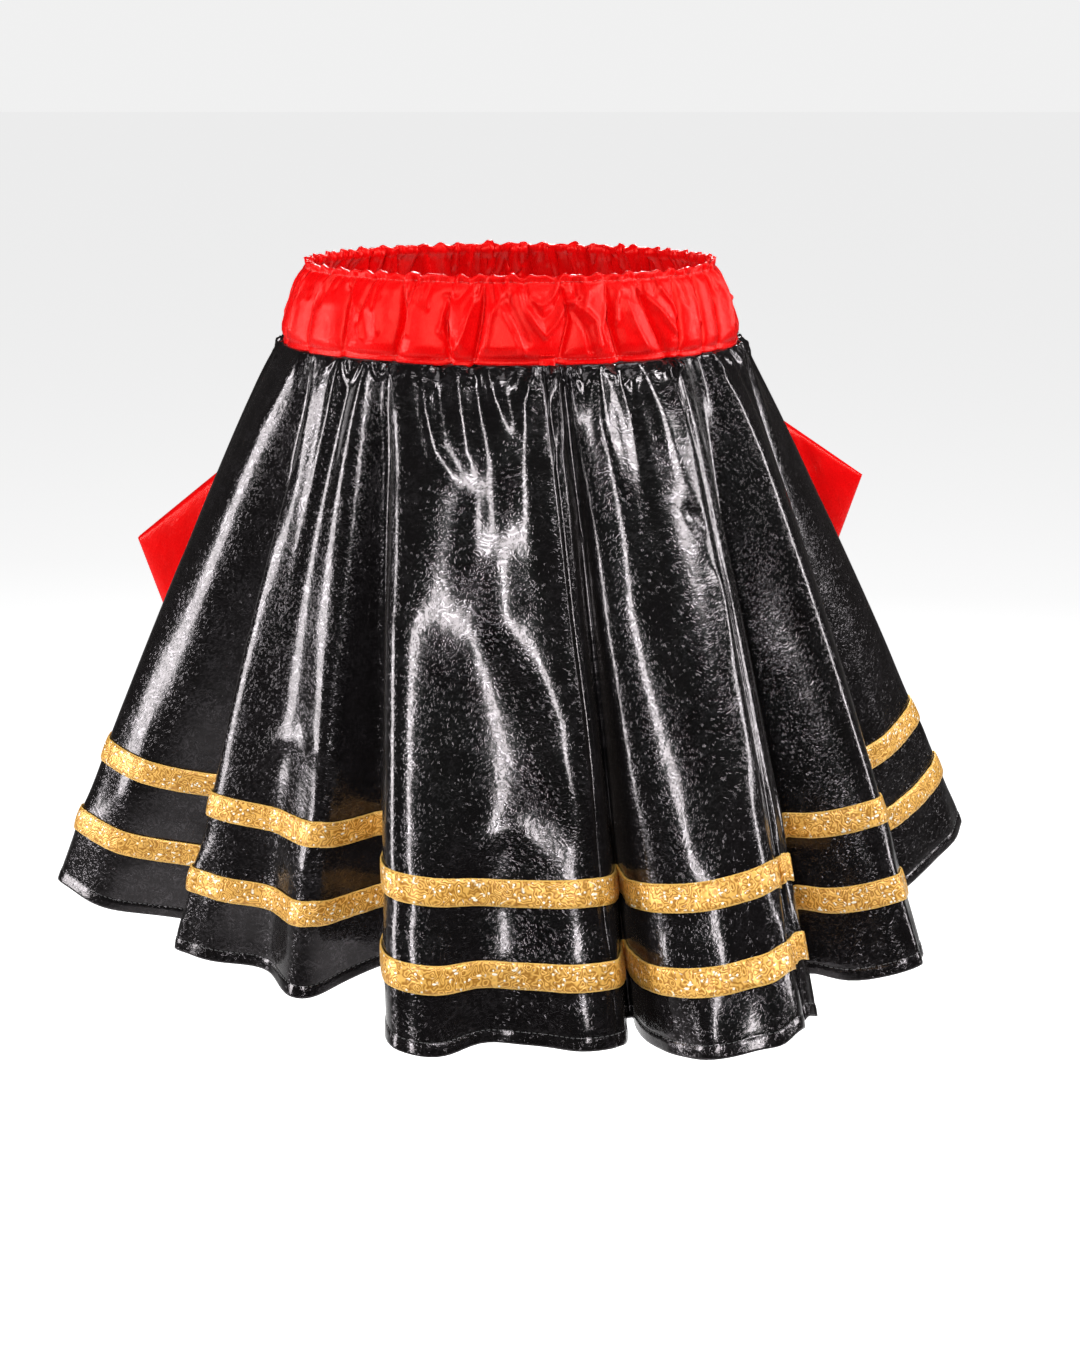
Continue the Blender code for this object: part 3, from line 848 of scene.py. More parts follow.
class Wardrobe:
    """Every finish, made once and asked for by its name."""

    finishes = (
        FoilCloth("black_foil_cloth", Slot.FOIL),
        Satin("red_satin", Slot.SATIN),
        GlitterRibbon("gold_glitter_ribbon", Slot.GLITTER),
        Thread("black_thread", Slot.FOIL),
        Thread("red_thread", Slot.SATIN, (0.45, 0.004, 0.008, 1.0), (0.85, 0.05, 0.04, 1.0)),
    )

    def __init__(self) -> None:
        """Make the materials."""
        effects = Effects()
        self.materials = {finish.name: finish.build(effects) for finish in self.finishes}
        self.slots = {finish.name: finish.slot for finish in self.finishes}

    def dress(self, piece: bpy.types.Object, name: str, replaces: Sequence[str] = ()) -> bpy.types.Object:
        """Give a piece its finish and make it ride on the model.

        Args:
            piece: the finished piece.
            name: which finish it takes.
            replaces: the nodes of the model that it stands for.

        Returns:
            The same piece.
        """
        piece.data.materials.clear()
        piece.data.materials.append(self.materials[name])
        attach(piece, CAD_BODY)
        if replaces:
            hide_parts(*replaces)
        log.info("%s: %d faces, %s", piece.name, len(piece.data.polygons), name)
        return piece


# ---------------------------------------------------------------------------------------------------------
# The skirt
# ---------------------------------------------------------------------------------------------------------


@dataclass
class SkirtCloth:
    """The two foil panels, sewn together at the front and the back."""

    form: ClothForm
    columns: int = 384
    rows: int = 116
    hem_fold: float = 0.0075
    seam_dip: float = 0.0012
    seam_width: float = 0.0035
    seam_gap: float = 0.004         # stations between a panel's edge and its seam

    def cloth(self, station: np.ndarray, down: np.ndarray, lift: float = 0.0) -> np.ndarray:
        """Return points of the cloth with its seams drawn in and its hem turned under."""
        point, normal, scale = self.form.frame(station, down)
        height = self.form.relief(station, down, scale) + lift
        for seam in (FRONT_SEAM, BACK_SEAM):
            across = self.form.apart(station, seam) * scale
            height -= self.seam_dip * np.exp(-((across / self.seam_width) ** 2)) * np.clip(down / 0.03, 0, 1)
        from_hem = CLOTH_LENGTH - down
        height += 0.0004 * np.clip((self.hem_fold - from_hem) / 0.0008, 0, 1)
        height -= 0.0002 * np.exp(-(((from_hem - self.hem_fold) / 0.0013) ** 2))
        point = point + normal * height[..., None]
        point[..., 2] += self.form.lift(station, down)
        point[..., 2] = np.minimum(point[..., 2], CLOTH_TOP)
        return point

    def places(self, start: float, stop: float) -> tuple[np.ndarray, np.ndarray]:
        """Return a panel's grid of stations and of distances down the cloth."""
        station = np.linspace(start, stop, self.columns)
        share = np.linspace(0, 1, self.rows)
        down = CLOTH_LENGTH * (0.70 * share**2 + 0.30 * share)
        hem = CLOTH_LENGTH - np.array([0.0, 0.0012, 0.0045, 0.0068, 0.0075, 0.0082, 0.0095])
        down = np.unique(np.concatenate([down[down < CLOTH_LENGTH - 0.011], hem]))
        return np.meshgrid(station, down)

    def flat(self, station: np.ndarray, down: np.ndarray) -> np.ndarray:
        """Return the places on the flat cut, a ring sector, in metres."""
        order = np.linspace(station.min(), station.max(), 1200)
        hem = self.form.base(order, np.full_like(order, CLOTH_LENGTH))
        outer = CUT_RADIUS + CLOTH_LENGTH
        angle = np.interp(station, order, running_length(hem)) / outer
        radius = CUT_RADIUS + down
        return np.stack([radius * np.cos(angle), radius * np.sin(angle)], axis=-1)

    def build(self, wardrobe: Wardrobe) -> None:
        """Make both panels."""
        for name, node, start, stop in (
            ("cloth_left", "skirt_left", FRONT_SEAM - STATION_COUNT, BACK_SEAM),
            ("cloth_right", "skirt_right", BACK_SEAM, FRONT_SEAM),
        ):
            station, down = self.places(start + self.seam_gap, stop - self.seam_gap)
            panel = cloth_grid(name, self.cloth(station, down), self.flat(station, down))
            give_wall(panel, CLOTH_WALL)
            wardrobe.dress(panel, "black_foil_cloth", [node])
        self.sew_hem(wardrobe)

    def sew_hem(self, wardrobe: Wardrobe) -> None:
        """Sew the hem's row of stitches."""
        station = np.linspace(0, STATION_COUNT, 5200)
        down = np.full_like(station, CLOTH_LENGTH - self.hem_fold)
        points = self.cloth(station, down, 0.0002)
        _, normal, _ = self.form.frame(station, down)
        stitches = sew_row("hem_stitches", points, normal, 0.0034, 0.0027, 0.0006)
        wardrobe.dress(stitches, "black_thread")


@dataclass
class Ribbon:
    """A glitter ribbon sewn round the skirt near its hem.

    up is its lower edge's distance from the hem, and rises are how much more that is at some stations.
    """

    name: str
    node: str
    up: float
    rises: tuple[tuple[float, float], ...]
    join: float = 0.8               # the station where it starts and ends
    overlap: float = 0.09           # stations
    cross_creases: int = 46
    width: float = 0.016
    wall: float = 0.0010
    columns: int = 2400
    rows: int = 7

    def build(self, cloth: SkirtCloth, wardrobe: Wardrobe) -> None:
        """Make the ribbon, whose ends overlap at its join."""
        station, share = np.meshgrid(
            np.linspace(self.join, self.join + STATION_COUNT + self.overlap, self.columns),
            np.linspace(1, 0, self.rows),
        )
        up = self.up + np.interp(np.mod(station, STATION_COUNT), *zip(*self.rises))
        down = CLOTH_LENGTH - up - self.width * share
        over = np.clip((station - self.join - STATION_COUNT + 0.02) / 0.03, 0, 1) * self.wall * 1.1
        lift = SEAM_GAP + over
        point, normal, scale = cloth.form.frame(station, down)
        height = cloth.form.relief(station, down, scale) + lift
        crown = 0.0003 * np.sqrt(np.clip(1 - (2 * share - 1) ** 2, 0, 1))
        height += crown + self.ripple(station, share, scale)
        points = point + normal * height[..., None]
        points[..., 2] += cloth.form.lift(station, down)
        middle = running_length(points[self.rows // 2])
        along = np.broadcast_to(middle, share.shape)
        flat = np.stack([along, self.width * share], axis=-1)
        ribbon = cloth_grid(self.name, points, flat)
        give_wall(ribbon, self.wall, 1.0)
        wardrobe.dress(ribbon, "gold_glitter_ribbon", [self.node])

    def ripple(self, station: np.ndarray, share: np.ndarray, scale: np.ndarray) -> np.ndarray:
        """Return the ribbon's slight waviness, and its short cross creases where the cloth turns."""
        wave = 0.00025 * np.sin(9.1 * station + 1.3) * np.sin(23.7 * station)
        seeded = random.Random(self.name)
        for _ in range(self.cross_creases):
            place = seeded.uniform(0, STATION_COUNT)
            slant = seeded.uniform(-0.05, 0.05)
            across = ClothForm.apart(station, place + slant * (share - 0.5)) * scale
            wave = wave - seeded.uniform(0.0003, 0.0007) * np.exp(-((across / 0.0012) ** 2))
        return wave


# ---------------------------------------------------------------------------------------------------------
# The waistband
# ---------------------------------------------------------------------------------------------------------


@dataclass(frozen=True)
class Pleat:
    """A fold of the band's satin along a line of places, each (degrees, height share).

    A trough's height is below zero, and width is half the fold's breadth.
    """

    path: tuple[tuple[float, float], ...]
    height: float
    width: float


@dataclass(frozen=True)
class Lobe:
    """The swell of satin after a deep gather, whose line has a place at the top, the middle and the bottom.

    height is how far it stands out, skew moves its crest and drop lowers its lower edge.
    """

    gather: tuple[float, float, float]
    height: float
    skew: float
    drop: float


@dataclass
class Waistband:
    """The gathered satin casing over the elastic, with its ruffled top edge and its flat lower lip."""

    wall: float = 0.0022
    columns: int = 1150
    rows: int = 38
    lower_stitch: float = 0.066
    upper_stitch: float = 0.922
    fullness: float = 1.45
    cleft: float = 0.0016
    to_metres: float = 0.00225      # metres of band to a degree
    girth: float = 0.81             # 360 degrees of it
    cut_length: float = 1.16        # the satin that shows, before it is gathered
    breadth: float = 1.25           # each fold's width over the one in its row
    deepest: float = -0.0012
    join: tuple[float, float] = (7.2, 11.0)    # degrees
    pleats: list[Pleat] = field(default_factory=list)
    lobes: list[Lobe] = field(default_factory=list)

    def ring(self, degrees: np.ndarray, share: np.ndarray, proud: np.ndarray) -> np.ndarray:
        """Return points of the plain band, standing proud of its elastic."""
        angle = np.radians(degrees)
        half_width = HIP_HALF[0] + (WAIST_HALF[0] - HIP_HALF[0]) * share - self.wall + proud
        half_depth = HIP_HALF[1] + (WAIST_HALF[1] - HIP_HALF[1]) * share - self.wall + proud
        return np.stack(
            [half_width * np.sin(angle), -half_depth * np.cos(angle), BAND_HEIGHT * (share - 0.5)], axis=-1
        )

    def swell(self, degrees: np.ndarray, share: np.ndarray) -> tuple[np.ndarray, np.ndarray]:
        """Return how far the lobes stand out and how low their lower edge hangs."""
        proud, drop = np.zeros_like(share), np.zeros_like(share)
        lines = [np.interp(share, (0, 0.5, 1), lobe.gather[::-1]) for lobe in self.lobes]
        for index, lobe in enumerate(self.lobes):
            after = lines[(index + 1) % len(lines)] + (360 if index + 1 == len(lines) else 0)
            part = np.mod(degrees - lines[index], 360) / (after - lines[index])
            inside = part < 1
            round_part = np.sin(math.pi * np.clip(part, 0, 1) ** lobe.skew) ** 0.6
            from_gather = np.minimum(part, 1 - part) * (after - lines[index]) * self.to_metres
            cleft = self.cleft * np.exp(-((from_gather / 0.0012) ** 2))
            proud += np.where(inside, lobe.height * round_part - cleft, 0.0)
            drop += np.where(inside, lobe.drop * np.clip(6 * np.minimum(part, 1 - part), 0, 1), 0.0)
        return proud, drop

    def relief(self, degrees: np.ndarray, share: np.ndarray) -> np.ndarray:
        """Return how far the gathers and folds stand out."""
        held = np.interp(
            share, (0, self.lower_stitch, 0.10, 0.20, 0.6, 0.82, self.upper_stitch, 1),
            (0.25, 0.28, 0.62, 0.95, 0.95, 0.60, 0.16, 0.34),
        )
        folds = np.zeros_like(share)
        x, y = degrees * self.to_metres, share * BAND_HEIGHT
        for pleat in self.pleats:
            away = np.full_like(share, 1.0)
            for (first, low), (last, high) in zip(pleat.path, pleat.path[1:]):
                start = np.array([first * self.to_metres, low * BAND_HEIGHT])
                line = np.array([last * self.to_metres, high * BAND_HEIGHT]) - start
                across = np.mod(x - start[0] + self.girth / 2, self.girth) - self.girth / 2
                share_on = np.clip((across * line[0] + (y - start[1]) * line[1]) / (line @ line), 0, 1)
                here = np.hypot(across - share_on * line[0], y - start[1] - share_on * line[1])
                away = np.minimum(away, here)
            folds += pleat.height * np.exp(-((away / (self.breadth * pleat.width)) ** 1.6))
        fade = np.clip((share - 0.05) / 0.08, 0, 1) * np.clip((1.02 - share) / 0.10, 0, 1)
        proud = 0.0007 + self.fullness * (self.swell(degrees, share)[0] * held + folds * fade)
        for stitch, depth in ((self.lower_stitch, 0.0006), (self.upper_stitch, 0.0009)):
            proud -= depth * np.exp(-(((share - stitch) / 0.020) ** 2))
        ruffle = np.clip((share - self.upper_stitch) / (1 - self.upper_stitch), 0, 1)
        proud += 0.0011 * ruffle * self.frill(degrees, 0.0)
        return np.maximum(proud, self.deepest)

    @staticmethod
    def frill(degrees: np.ndarray, shift: float) -> np.ndarray:
        """Return the top edge's uneven small waves, from -1 to 1."""
        turn = np.radians(degrees)
        broad = 0.5 * np.sin(47 * turn + 1.8 * np.sin(5 * turn + shift))
        return broad + 0.5 * np.sin(74 * turn + 2 * np.sin(3 * turn))

    def lay_folds(self) -> None:
        """Lay the lobes and folds: those that the front shows, and uneven ones like them on the rest."""
        seeded = random.Random(7)
        self.lobes = list(FRONT_LOBES)
        self.pleats = list(FRONT_PLEATS)
        place = 98.0
        while place < 264:
            lean = (seeded.uniform(-2.5, 2.5), 0.0, seeded.uniform(-2.5, 2.5))
            self.lobes.append(Lobe(tuple(place + shift for shift in lean), seeded.uniform(0.0028, 0.0048),
                                   seeded.uniform(0.6, 1.3), seeded.uniform(0, 0.0015)))
            place += seeded.uniform(6.5, 15)
        self.lobes.sort(key=lambda lobe: lobe.gather[1] % 360)
        self.lobes = [Lobe(tuple(place + 360 * (lobe.gather[1] < 0) for place in lobe.gather), lobe.height,
                           lobe.skew, lobe.drop) for lobe in self.lobes]
        for _ in range(95):
            where, lean = seeded.uniform(85, 275), seeded.uniform(-5, 5)
            middle = where + lean * 0.5 + seeded.uniform(-1.5, 1.5)
            path = (
                (where, seeded.uniform(0.85, 1.0)), (middle, 0.55), (where + lean, seeded.uniform(0.1, 0.45)),
            )
            tall = seeded.choice((-1, 1, 1)) * seeded.uniform(0.0007, 0.0017)
            self.pleats.append(Pleat(path, tall, seeded.uniform(0.0010, 0.0022)))
        for lobe in self.lobes:
            for _ in range(3):
                where = lobe.gather[0] + seeded.uniform(2, 11)
                path = ((where, 1.0), (where + seeded.uniform(-1.5, 1.5), seeded.uniform(0.60, 0.82)))
                trough = -seeded.uniform(0.0006, 0.0014)
                self.pleats.append(Pleat(path, trough, seeded.uniform(0.0008, 0.0014)))

    def sheet(self, degrees: np.ndarray, share: np.ndarray, lift: float = 0.0) -> np.ndarray:
        """Return points of the gathered satin, raised by a lift."""
        points = self.ring(degrees, share, self.relief(degrees, share) + lift)
        points[..., 2] -= self.swell(degrees, share)[1] * np.clip(1 - share / 0.3, 0, 1)
        points[..., 2] += 0.0011 * self.frill(degrees, 0.9) * np.clip((share - 0.86) / 0.14, 0, 1)
        return points

    def build(self, wardrobe: Wardrobe) -> None:
        """Make the casing, its overlapping join and its two rows of stitches."""
        self.lay_folds()
        degrees, share = np.meshgrid(np.linspace(0, 360, self.columns), np.linspace(1, 0, self.rows))
        points = self.sheet(degrees, share)
        points[:, -1] = points[:, 0]
        flat = np.stack([degrees / 360 * self.cut_length, share * BAND_HEIGHT], axis=-1)
        casing = cloth_grid("waistband_casing", points, flat, ring_columns=True)
        give_wall(casing, self.wall)
        wardrobe.dress(casing, "red_satin", ["waistband"])
        self.build_join(wardrobe)
        rows = (("lower", self.lower_stitch, 0.0030), ("upper", self.upper_stitch, 0.0032))
        for name, height, pitch in rows:
            around = np.linspace(0, 360, 3000)
            line = self.sheet(around, np.full_like(around, height), 0.0003)
            outward = self.ring(around, np.full_like(around, height), 1.0) - line
            stitches = sew_row(f"band_stitches_{name}", line, outward, pitch, pitch * 0.8, 0.00055)
            wardrobe.dress(stitches, "red_thread")

    def build_join(self, wardrobe: Wardrobe) -> None:
        """Make the strip where the casing's ends overlap, which hangs a little below the band."""
        left, right = self.join
        degrees, share = np.meshgrid(np.linspace(left, right, 18), np.linspace(0.11, -0.055, 22))
        edge = np.clip(np.minimum(degrees - left, right - degrees) / 0.5, 0, 1)
        proud = self.relief(degrees, np.clip(share, 0, 1)) + 0.0004 + 0.0006 * edge
        points = self.ring(degrees, share, proud)
        flat = np.stack([np.radians(degrees) * 0.137, share * BAND_HEIGHT], axis=-1)
        strip = cloth_grid("casing_join", points, flat)
        give_wall(strip, 0.0008)
        wardrobe.dress(strip, "red_satin")


FRONT_LOBES = (
    Lobe((-86, -88, -85), 0.0036, 0.9, 0.0006), Lobe((-74, -76, -76), 0.0044, 0.8, 0.0004),
    Lobe((-58.5, -60, -59), 0.0046, 0.75, 0.0010), Lobe((-45, -45, -44), 0.0044, 1.1, 0.0),
    Lobe((-29, -26.5, -28), 0.0040, 0.8, 0.0012), Lobe((-14, -15.6, -13.5), 0.0036, 0.9, 0.0016),
    Lobe((-5.9, -6.4, -8.1), 0.0052, 0.62, 0.0004), Lobe((13, 15, 11.5), 0.0030, 1.0, 0.0012),
    Lobe((26.3, 25.4, 27.3), 0.0038, 0.9, 0.0004), Lobe((34, 37.4, 40.8), 0.0036, 1.1, 0.0),
    Lobe((49.2, 47.1, 45.1), 0.0040, 0.9, 0.0006), Lobe((60, 57, 55), 0.0034, 0.9, 0.0),
    Lobe((68, 66.5, 63), 0.0042, 0.8, 0.0006), Lobe((86, 88, 84), 0.0036, 1.0, 0.0004),
)
FRONT_PLEATS = (
    Pleat(((-54.7, 1.0), (-58.0, 0.7), (-60.0, 0.47)), 0.0014, 0.0016),
    Pleat(((-68.0, 0.95), (-70.5, 0.6), (-69.0, 0.25)), 0.0012, 0.0018),
    Pleat(((-46.6, 0.88), (-39.8, 0.54), (-37.3, 0.26)), 0.0018, 0.0016),
    Pleat(((-37.9, 0.98), (-39.3, 0.65), (-39.7, 0.43)), -0.0016, 0.0016),
    Pleat(((-33.5, 0.95), (-34.5, 0.70), (-33.0, 0.35)), 0.0012, 0.0018),
    Pleat(((-24.7, 1.06), (-26.2, 0.68), (-26.5, 0.35)), -0.0022, 0.0014),
    Pleat(((-23.9, 0.86), (-25.2, 0.57), (-25.2, 0.33)), 0.0016, 0.0014),
    Pleat(((-19.0, 1.0), (-21.0, 0.75), (-20.5, 0.62)), -0.0012, 0.0013),
    Pleat(((-13.2, 0.98), (-15.8, 0.59), (-16.6, 0.38), (-12.8, 0.17)), 0.0016, 0.0014),
    Pleat(((-16.1, 0.77), (-12.8, 0.73), (-9.8, 0.88)), -0.0010, 0.0012),
    Pleat(((-9.9, 0.98), (-8.6, 0.71), (-11.4, 0.25)), 0.0016, 0.0016),
    Pleat(((-0.3, 0.88), (-4.1, 0.6), (-5.4, 0.21)), 0.0014, 0.0018),
    Pleat(((4.2, 0.95), (5.7, 0.74), (8.3, 0.67), (11.2, 0.77), (13.5, 0.95)), 0.0015, 0.0011),
    Pleat(((4.6, 0.90), (6.5, 0.62), (8.6, 0.52), (11.2, 0.62), (13.5, 0.80)), -0.0012, 0.0011),
    Pleat(((3.0, 0.88), (4.1, 0.67), (6.6, 0.46), (8.8, 0.33), (11.6, 0.47), (14.7, 0.7), (18.0, 0.77)),
          0.0018, 0.0013),
    Pleat(((-0.6, 0.64), (2.1, 0.39), (3.5, 0.14)), 0.0016, 0.0016),
    Pleat(((-1.6, 0.95), (1.2, 0.60), (4.5, 0.25)), -0.0012, 0.0013),
    Pleat(((14.7, 0.73), (18.6, 0.64), (21.5, 0.48), (22.0, 0.19)), 0.0017, 0.0014),
    Pleat(((16.0, 0.60), (18.8, 0.40), (20.0, 0.15)), -0.0014, 0.0014),
    Pleat(((19.5, 1.01), (20.7, 0.83), (19.5, 0.69)), 0.0012, 0.0012),
    Pleat(((25.4, 0.68), (22.9, 0.41), (23.7, 0.23)), 0.0014, 0.0013),
    Pleat(((31.0, 0.96), (27.6, 0.68), (26.8, 0.47)), 0.0014, 0.0013),
    Pleat(((30.5, 0.70), (32.0, 0.40), (34.5, 0.15)), 0.0011, 0.0018),
    Pleat(((35.3, 0.84), (40.1, 0.57), (43.9, 0.31)), 0.0018, 0.0014),
    Pleat(((41.7, 1.04), (42.1, 0.82), (44.8, 0.63), (46.1, 0.48)), 0.0015, 0.0012),
    Pleat(((54.4, 1.0), (54.2, 0.67), (54.3, 0.38)), 0.0013, 0.0014),
    Pleat(((74.0, 0.98), (76.0, 0.6), (73.0, 0.3)), 0.0013, 0.0018),
)


# ---------------------------------------------------------------------------------------------------------
# The bow
# ---------------------------------------------------------------------------------------------------------


@dataclass(frozen=True)
class Loop:
    """One loop of the bow: how far its two outer corners reach, below the waistband's centre."""

    name: str
    node: str
    side: int
    corner_out: float
    corner_down: float
    heel_out: float
    heel_down: float
    back: float


@dataclass
class Bow:
    """The big satin bow at the back: two loops and the knot that draws them together."""

    knot_size: tuple[float, float, float] = (0.044, 0.032, 0.054)
    knot_place: tuple[float, float, float] = (0.0, 0.1290, -0.007)
    wall: float = 0.0016
    pinch: float = 0.036
    depth: float = 0.024
    mouth: float = 0.25
    arch: float = 0.014
    pleat: float = 0.0035
    end: int = 8
    tuck: float = 0.004
    round_loop: float = 0.27        # metres of satin round a loop's outer end
    knot_power: float = 0.62        # 1 is an ellipse, and less is squarer
    loops: tuple[Loop, ...] = (
        Loop("satin_loop_left", "bow_loop_left", 1, 0.256, 0.150, 0.217, 0.272, 0.172),
        Loop("satin_loop_right", "bow_loop_right", -1, 0.279, 0.198, 0.240, 0.321, 0.172),
    )

    def loop_points(self, loop: Loop, along: np.ndarray, around: np.ndarray) -> np.ndarray:
        """Return points of a loop.

        Args:
            loop: which loop.
            along: from the knot, 0, to the outer fold, 1.
            around: from the lower edge, 0, over the back face to the upper edge at 0.5, and round to 1.

        Returns:
            An array of points.
        """
        across = 1 - np.abs(1 - 2 * np.mod(around, 1.0))
        layer = np.where(np.mod(around, 1.0) < 0.5, 1.0, -1.0)
        edge = np.clip(4 * across * (1 - across), 0, 1) ** 0.35
        x, y, z = self.knot_place
        inward = self.knot_size[0] / 2 - self.tuck
        start = np.stack(
            [np.full_like(along, x + inward), np.full_like(along, y), z + self.pinch * (across - 0.5)],
            axis=-1,
        )
        heel = np.array([loop.heel_out, loop.back, -loop.heel_down])
        corner = np.array([loop.corner_out, loop.back, -loop.corner_down])
        stop = heel + (corner - heel) * across[..., None]
        spread = along ** 0.92
        point = start + (stop - start) * spread[..., None]
        run = np.clip(along, 0, 1)
        opening = self.mouth + (1 - self.mouth) * np.sin(math.pi / 2 * np.minimum(1, 1.5 * run))
        fullness = self.depth / 2 * opening * np.sqrt(np.clip(1 - run**self.end, 0, 1)) * edge
        push = self.arch * np.sin(math.pi * run) + layer * fullness
        push += self.pleat * (1 - run) ** 2 * np.sin(math.tau * 2 * across) * edge
        push += self.wrinkles(loop, run, across, layer) * edge
        point[..., 1] += push
        point[..., 0] *= loop.side
        return point

    @staticmethod
    def wrinkles(loop: Loop, run: np.ndarray, across: np.ndarray, layer: np.ndarray) -> np.ndarray:
        """Return the folds that fan out from the knot and the dents nearer the outer fold."""
        seeded = random.Random(loop.name)
        height = np.zeros_like(run)
        for _ in range(13):
            start, stop = seeded.uniform(0.05, 0.95), seeded.uniform(0.05, 0.95)
            stop = start + 0.45 * (stop - start)
            reach, face = seeded.uniform(0.35, 0.95), seeded.choice((-1, 1))
            width = seeded.uniform(0.035, 0.075)
            away = across - (start + (stop - start) * run)
            fade = np.clip((reach - run) / 0.3, 0, 1) * np.where(layer == face, 1.0, 0.25)
            ridge = np.exp(-((away / (width * (0.5 + run))) ** 2))
            height += face * seeded.uniform(0.0014, 0.0036) * ridge * fade
        for _ in range(7):
            at, middle = seeded.uniform(0.45, 0.9), seeded.uniform(0.1, 0.9)
            slant, face = seeded.uniform(-0.5, 0.5), seeded.choice((-1, 1))
            away = (run - at - slant * (across - middle)) / seeded.uniform(0.025, 0.05)
            near = np.exp(-(((across - middle) / seeded.uniform(0.12, 0.25)) ** 2))
            height -= face * 0.0016 * np.exp(-(away**2)) * near * np.where(layer == face, 1.0, 0.3)
        return height

    def build(self, wardrobe: Wardrobe) -> None:
        """Make both loops and the knot."""
        for loop in self.loops:
            around, along = np.meshgrid(np.linspace(0, 1, 201), 1 - (1 - np.linspace(0, 1, 110)) ** 1.4)
            points = self.loop_points(loop, along, around)
            points[:, -1] = points[:, 0]
            middle = self.loop_points(loop, along[:, :1], np.full_like(along[:, :1], 0.25))[:, 0]
            length = running_length(middle)
            lengths = np.broadcast_to(length[:, None], around.shape)
            flat = np.stack([lengths, around * self.round_loop], axis=-1)
            if loop.side < 0:
                points, flat = points[:, ::-1], flat[:, ::-1]
            made = cloth_grid(loop.name, points[::-1], flat[::-1], ring_columns=True)
            face_outwards(made, merge=0.00015)    # the outer fold's two layers become one edge
            give_wall(made, self.wall)
            wardrobe.dress(made, "red_satin", [loop.node])
        self.build_knot(wardrobe)

    def build_knot(self, wardrobe: Wardrobe) -> None:
        """Make the knot: a pleated strip that wraps round the bow's middle."""
        width, depth, height = self.knot_size
        turn, across = np.meshgrid(np.linspace(0, math.tau, 181), np.linspace(-1, 1, 64))
        half_depth, half_height = depth / 2 - 0.0008, height / 2 - 0.0008
        cos, sin = np.cos(turn), np.sin(turn)
        y = half_depth * np.sign(cos) * np.abs(cos) ** self.knot_power
        z = half_height * np.sign(sin) * np.abs(sin) ** self.knot_power
        rounding = 1 - 0.16 * np.abs(across) ** 3.5
        folds = 0.0011 * np.sin(9.5 * across + 0.7 * np.sin(turn) + 0.4)
        folds += 0.0007 * np.sin(21 * across + 1.5 * np.cos(turn))
        folds *= 1 - 0.6 * np.abs(across) ** 4
        radial = np.stack([np.zeros_like(y), y / half_depth, z / half_height], axis=-1)
        radial /= np.linalg.norm(radial, axis=-1, keepdims=True)
        x = across * width / 2
        points = np.stack([x, y * rounding, z * rounding], axis=-1) + radial * (folds - 0.0012)[..., None]
        points += np.array(self.knot_place)
        points[:, -1] = points[:, 0]
        flat = np.stack([turn * 0.0225, across * width / 2], axis=-1)
        knot = cloth_grid("satin_knot", points, flat, ring_columns=True)
        face_outwards(knot)
        give_wall(knot, self.wall)
        wardrobe.dress(knot, "red_satin", ["bow_knot"])


# ---------------------------------------------------------------------------------------------------------
# The studio
# ---------------------------------------------------------------------------------------------------------


@dataclass(frozen=True)
class SoftBox:
    """A rectangular studio light that points at the skirt."""

    name: str
    place: tuple[float, float, float]
    size: tuple[float, float]
    power: float
    aim: tuple[float, float, float] = (0.0, 0.0, -0.15)
    colour: tuple[float, float, float] = (1.0, 1.0, 1.0)


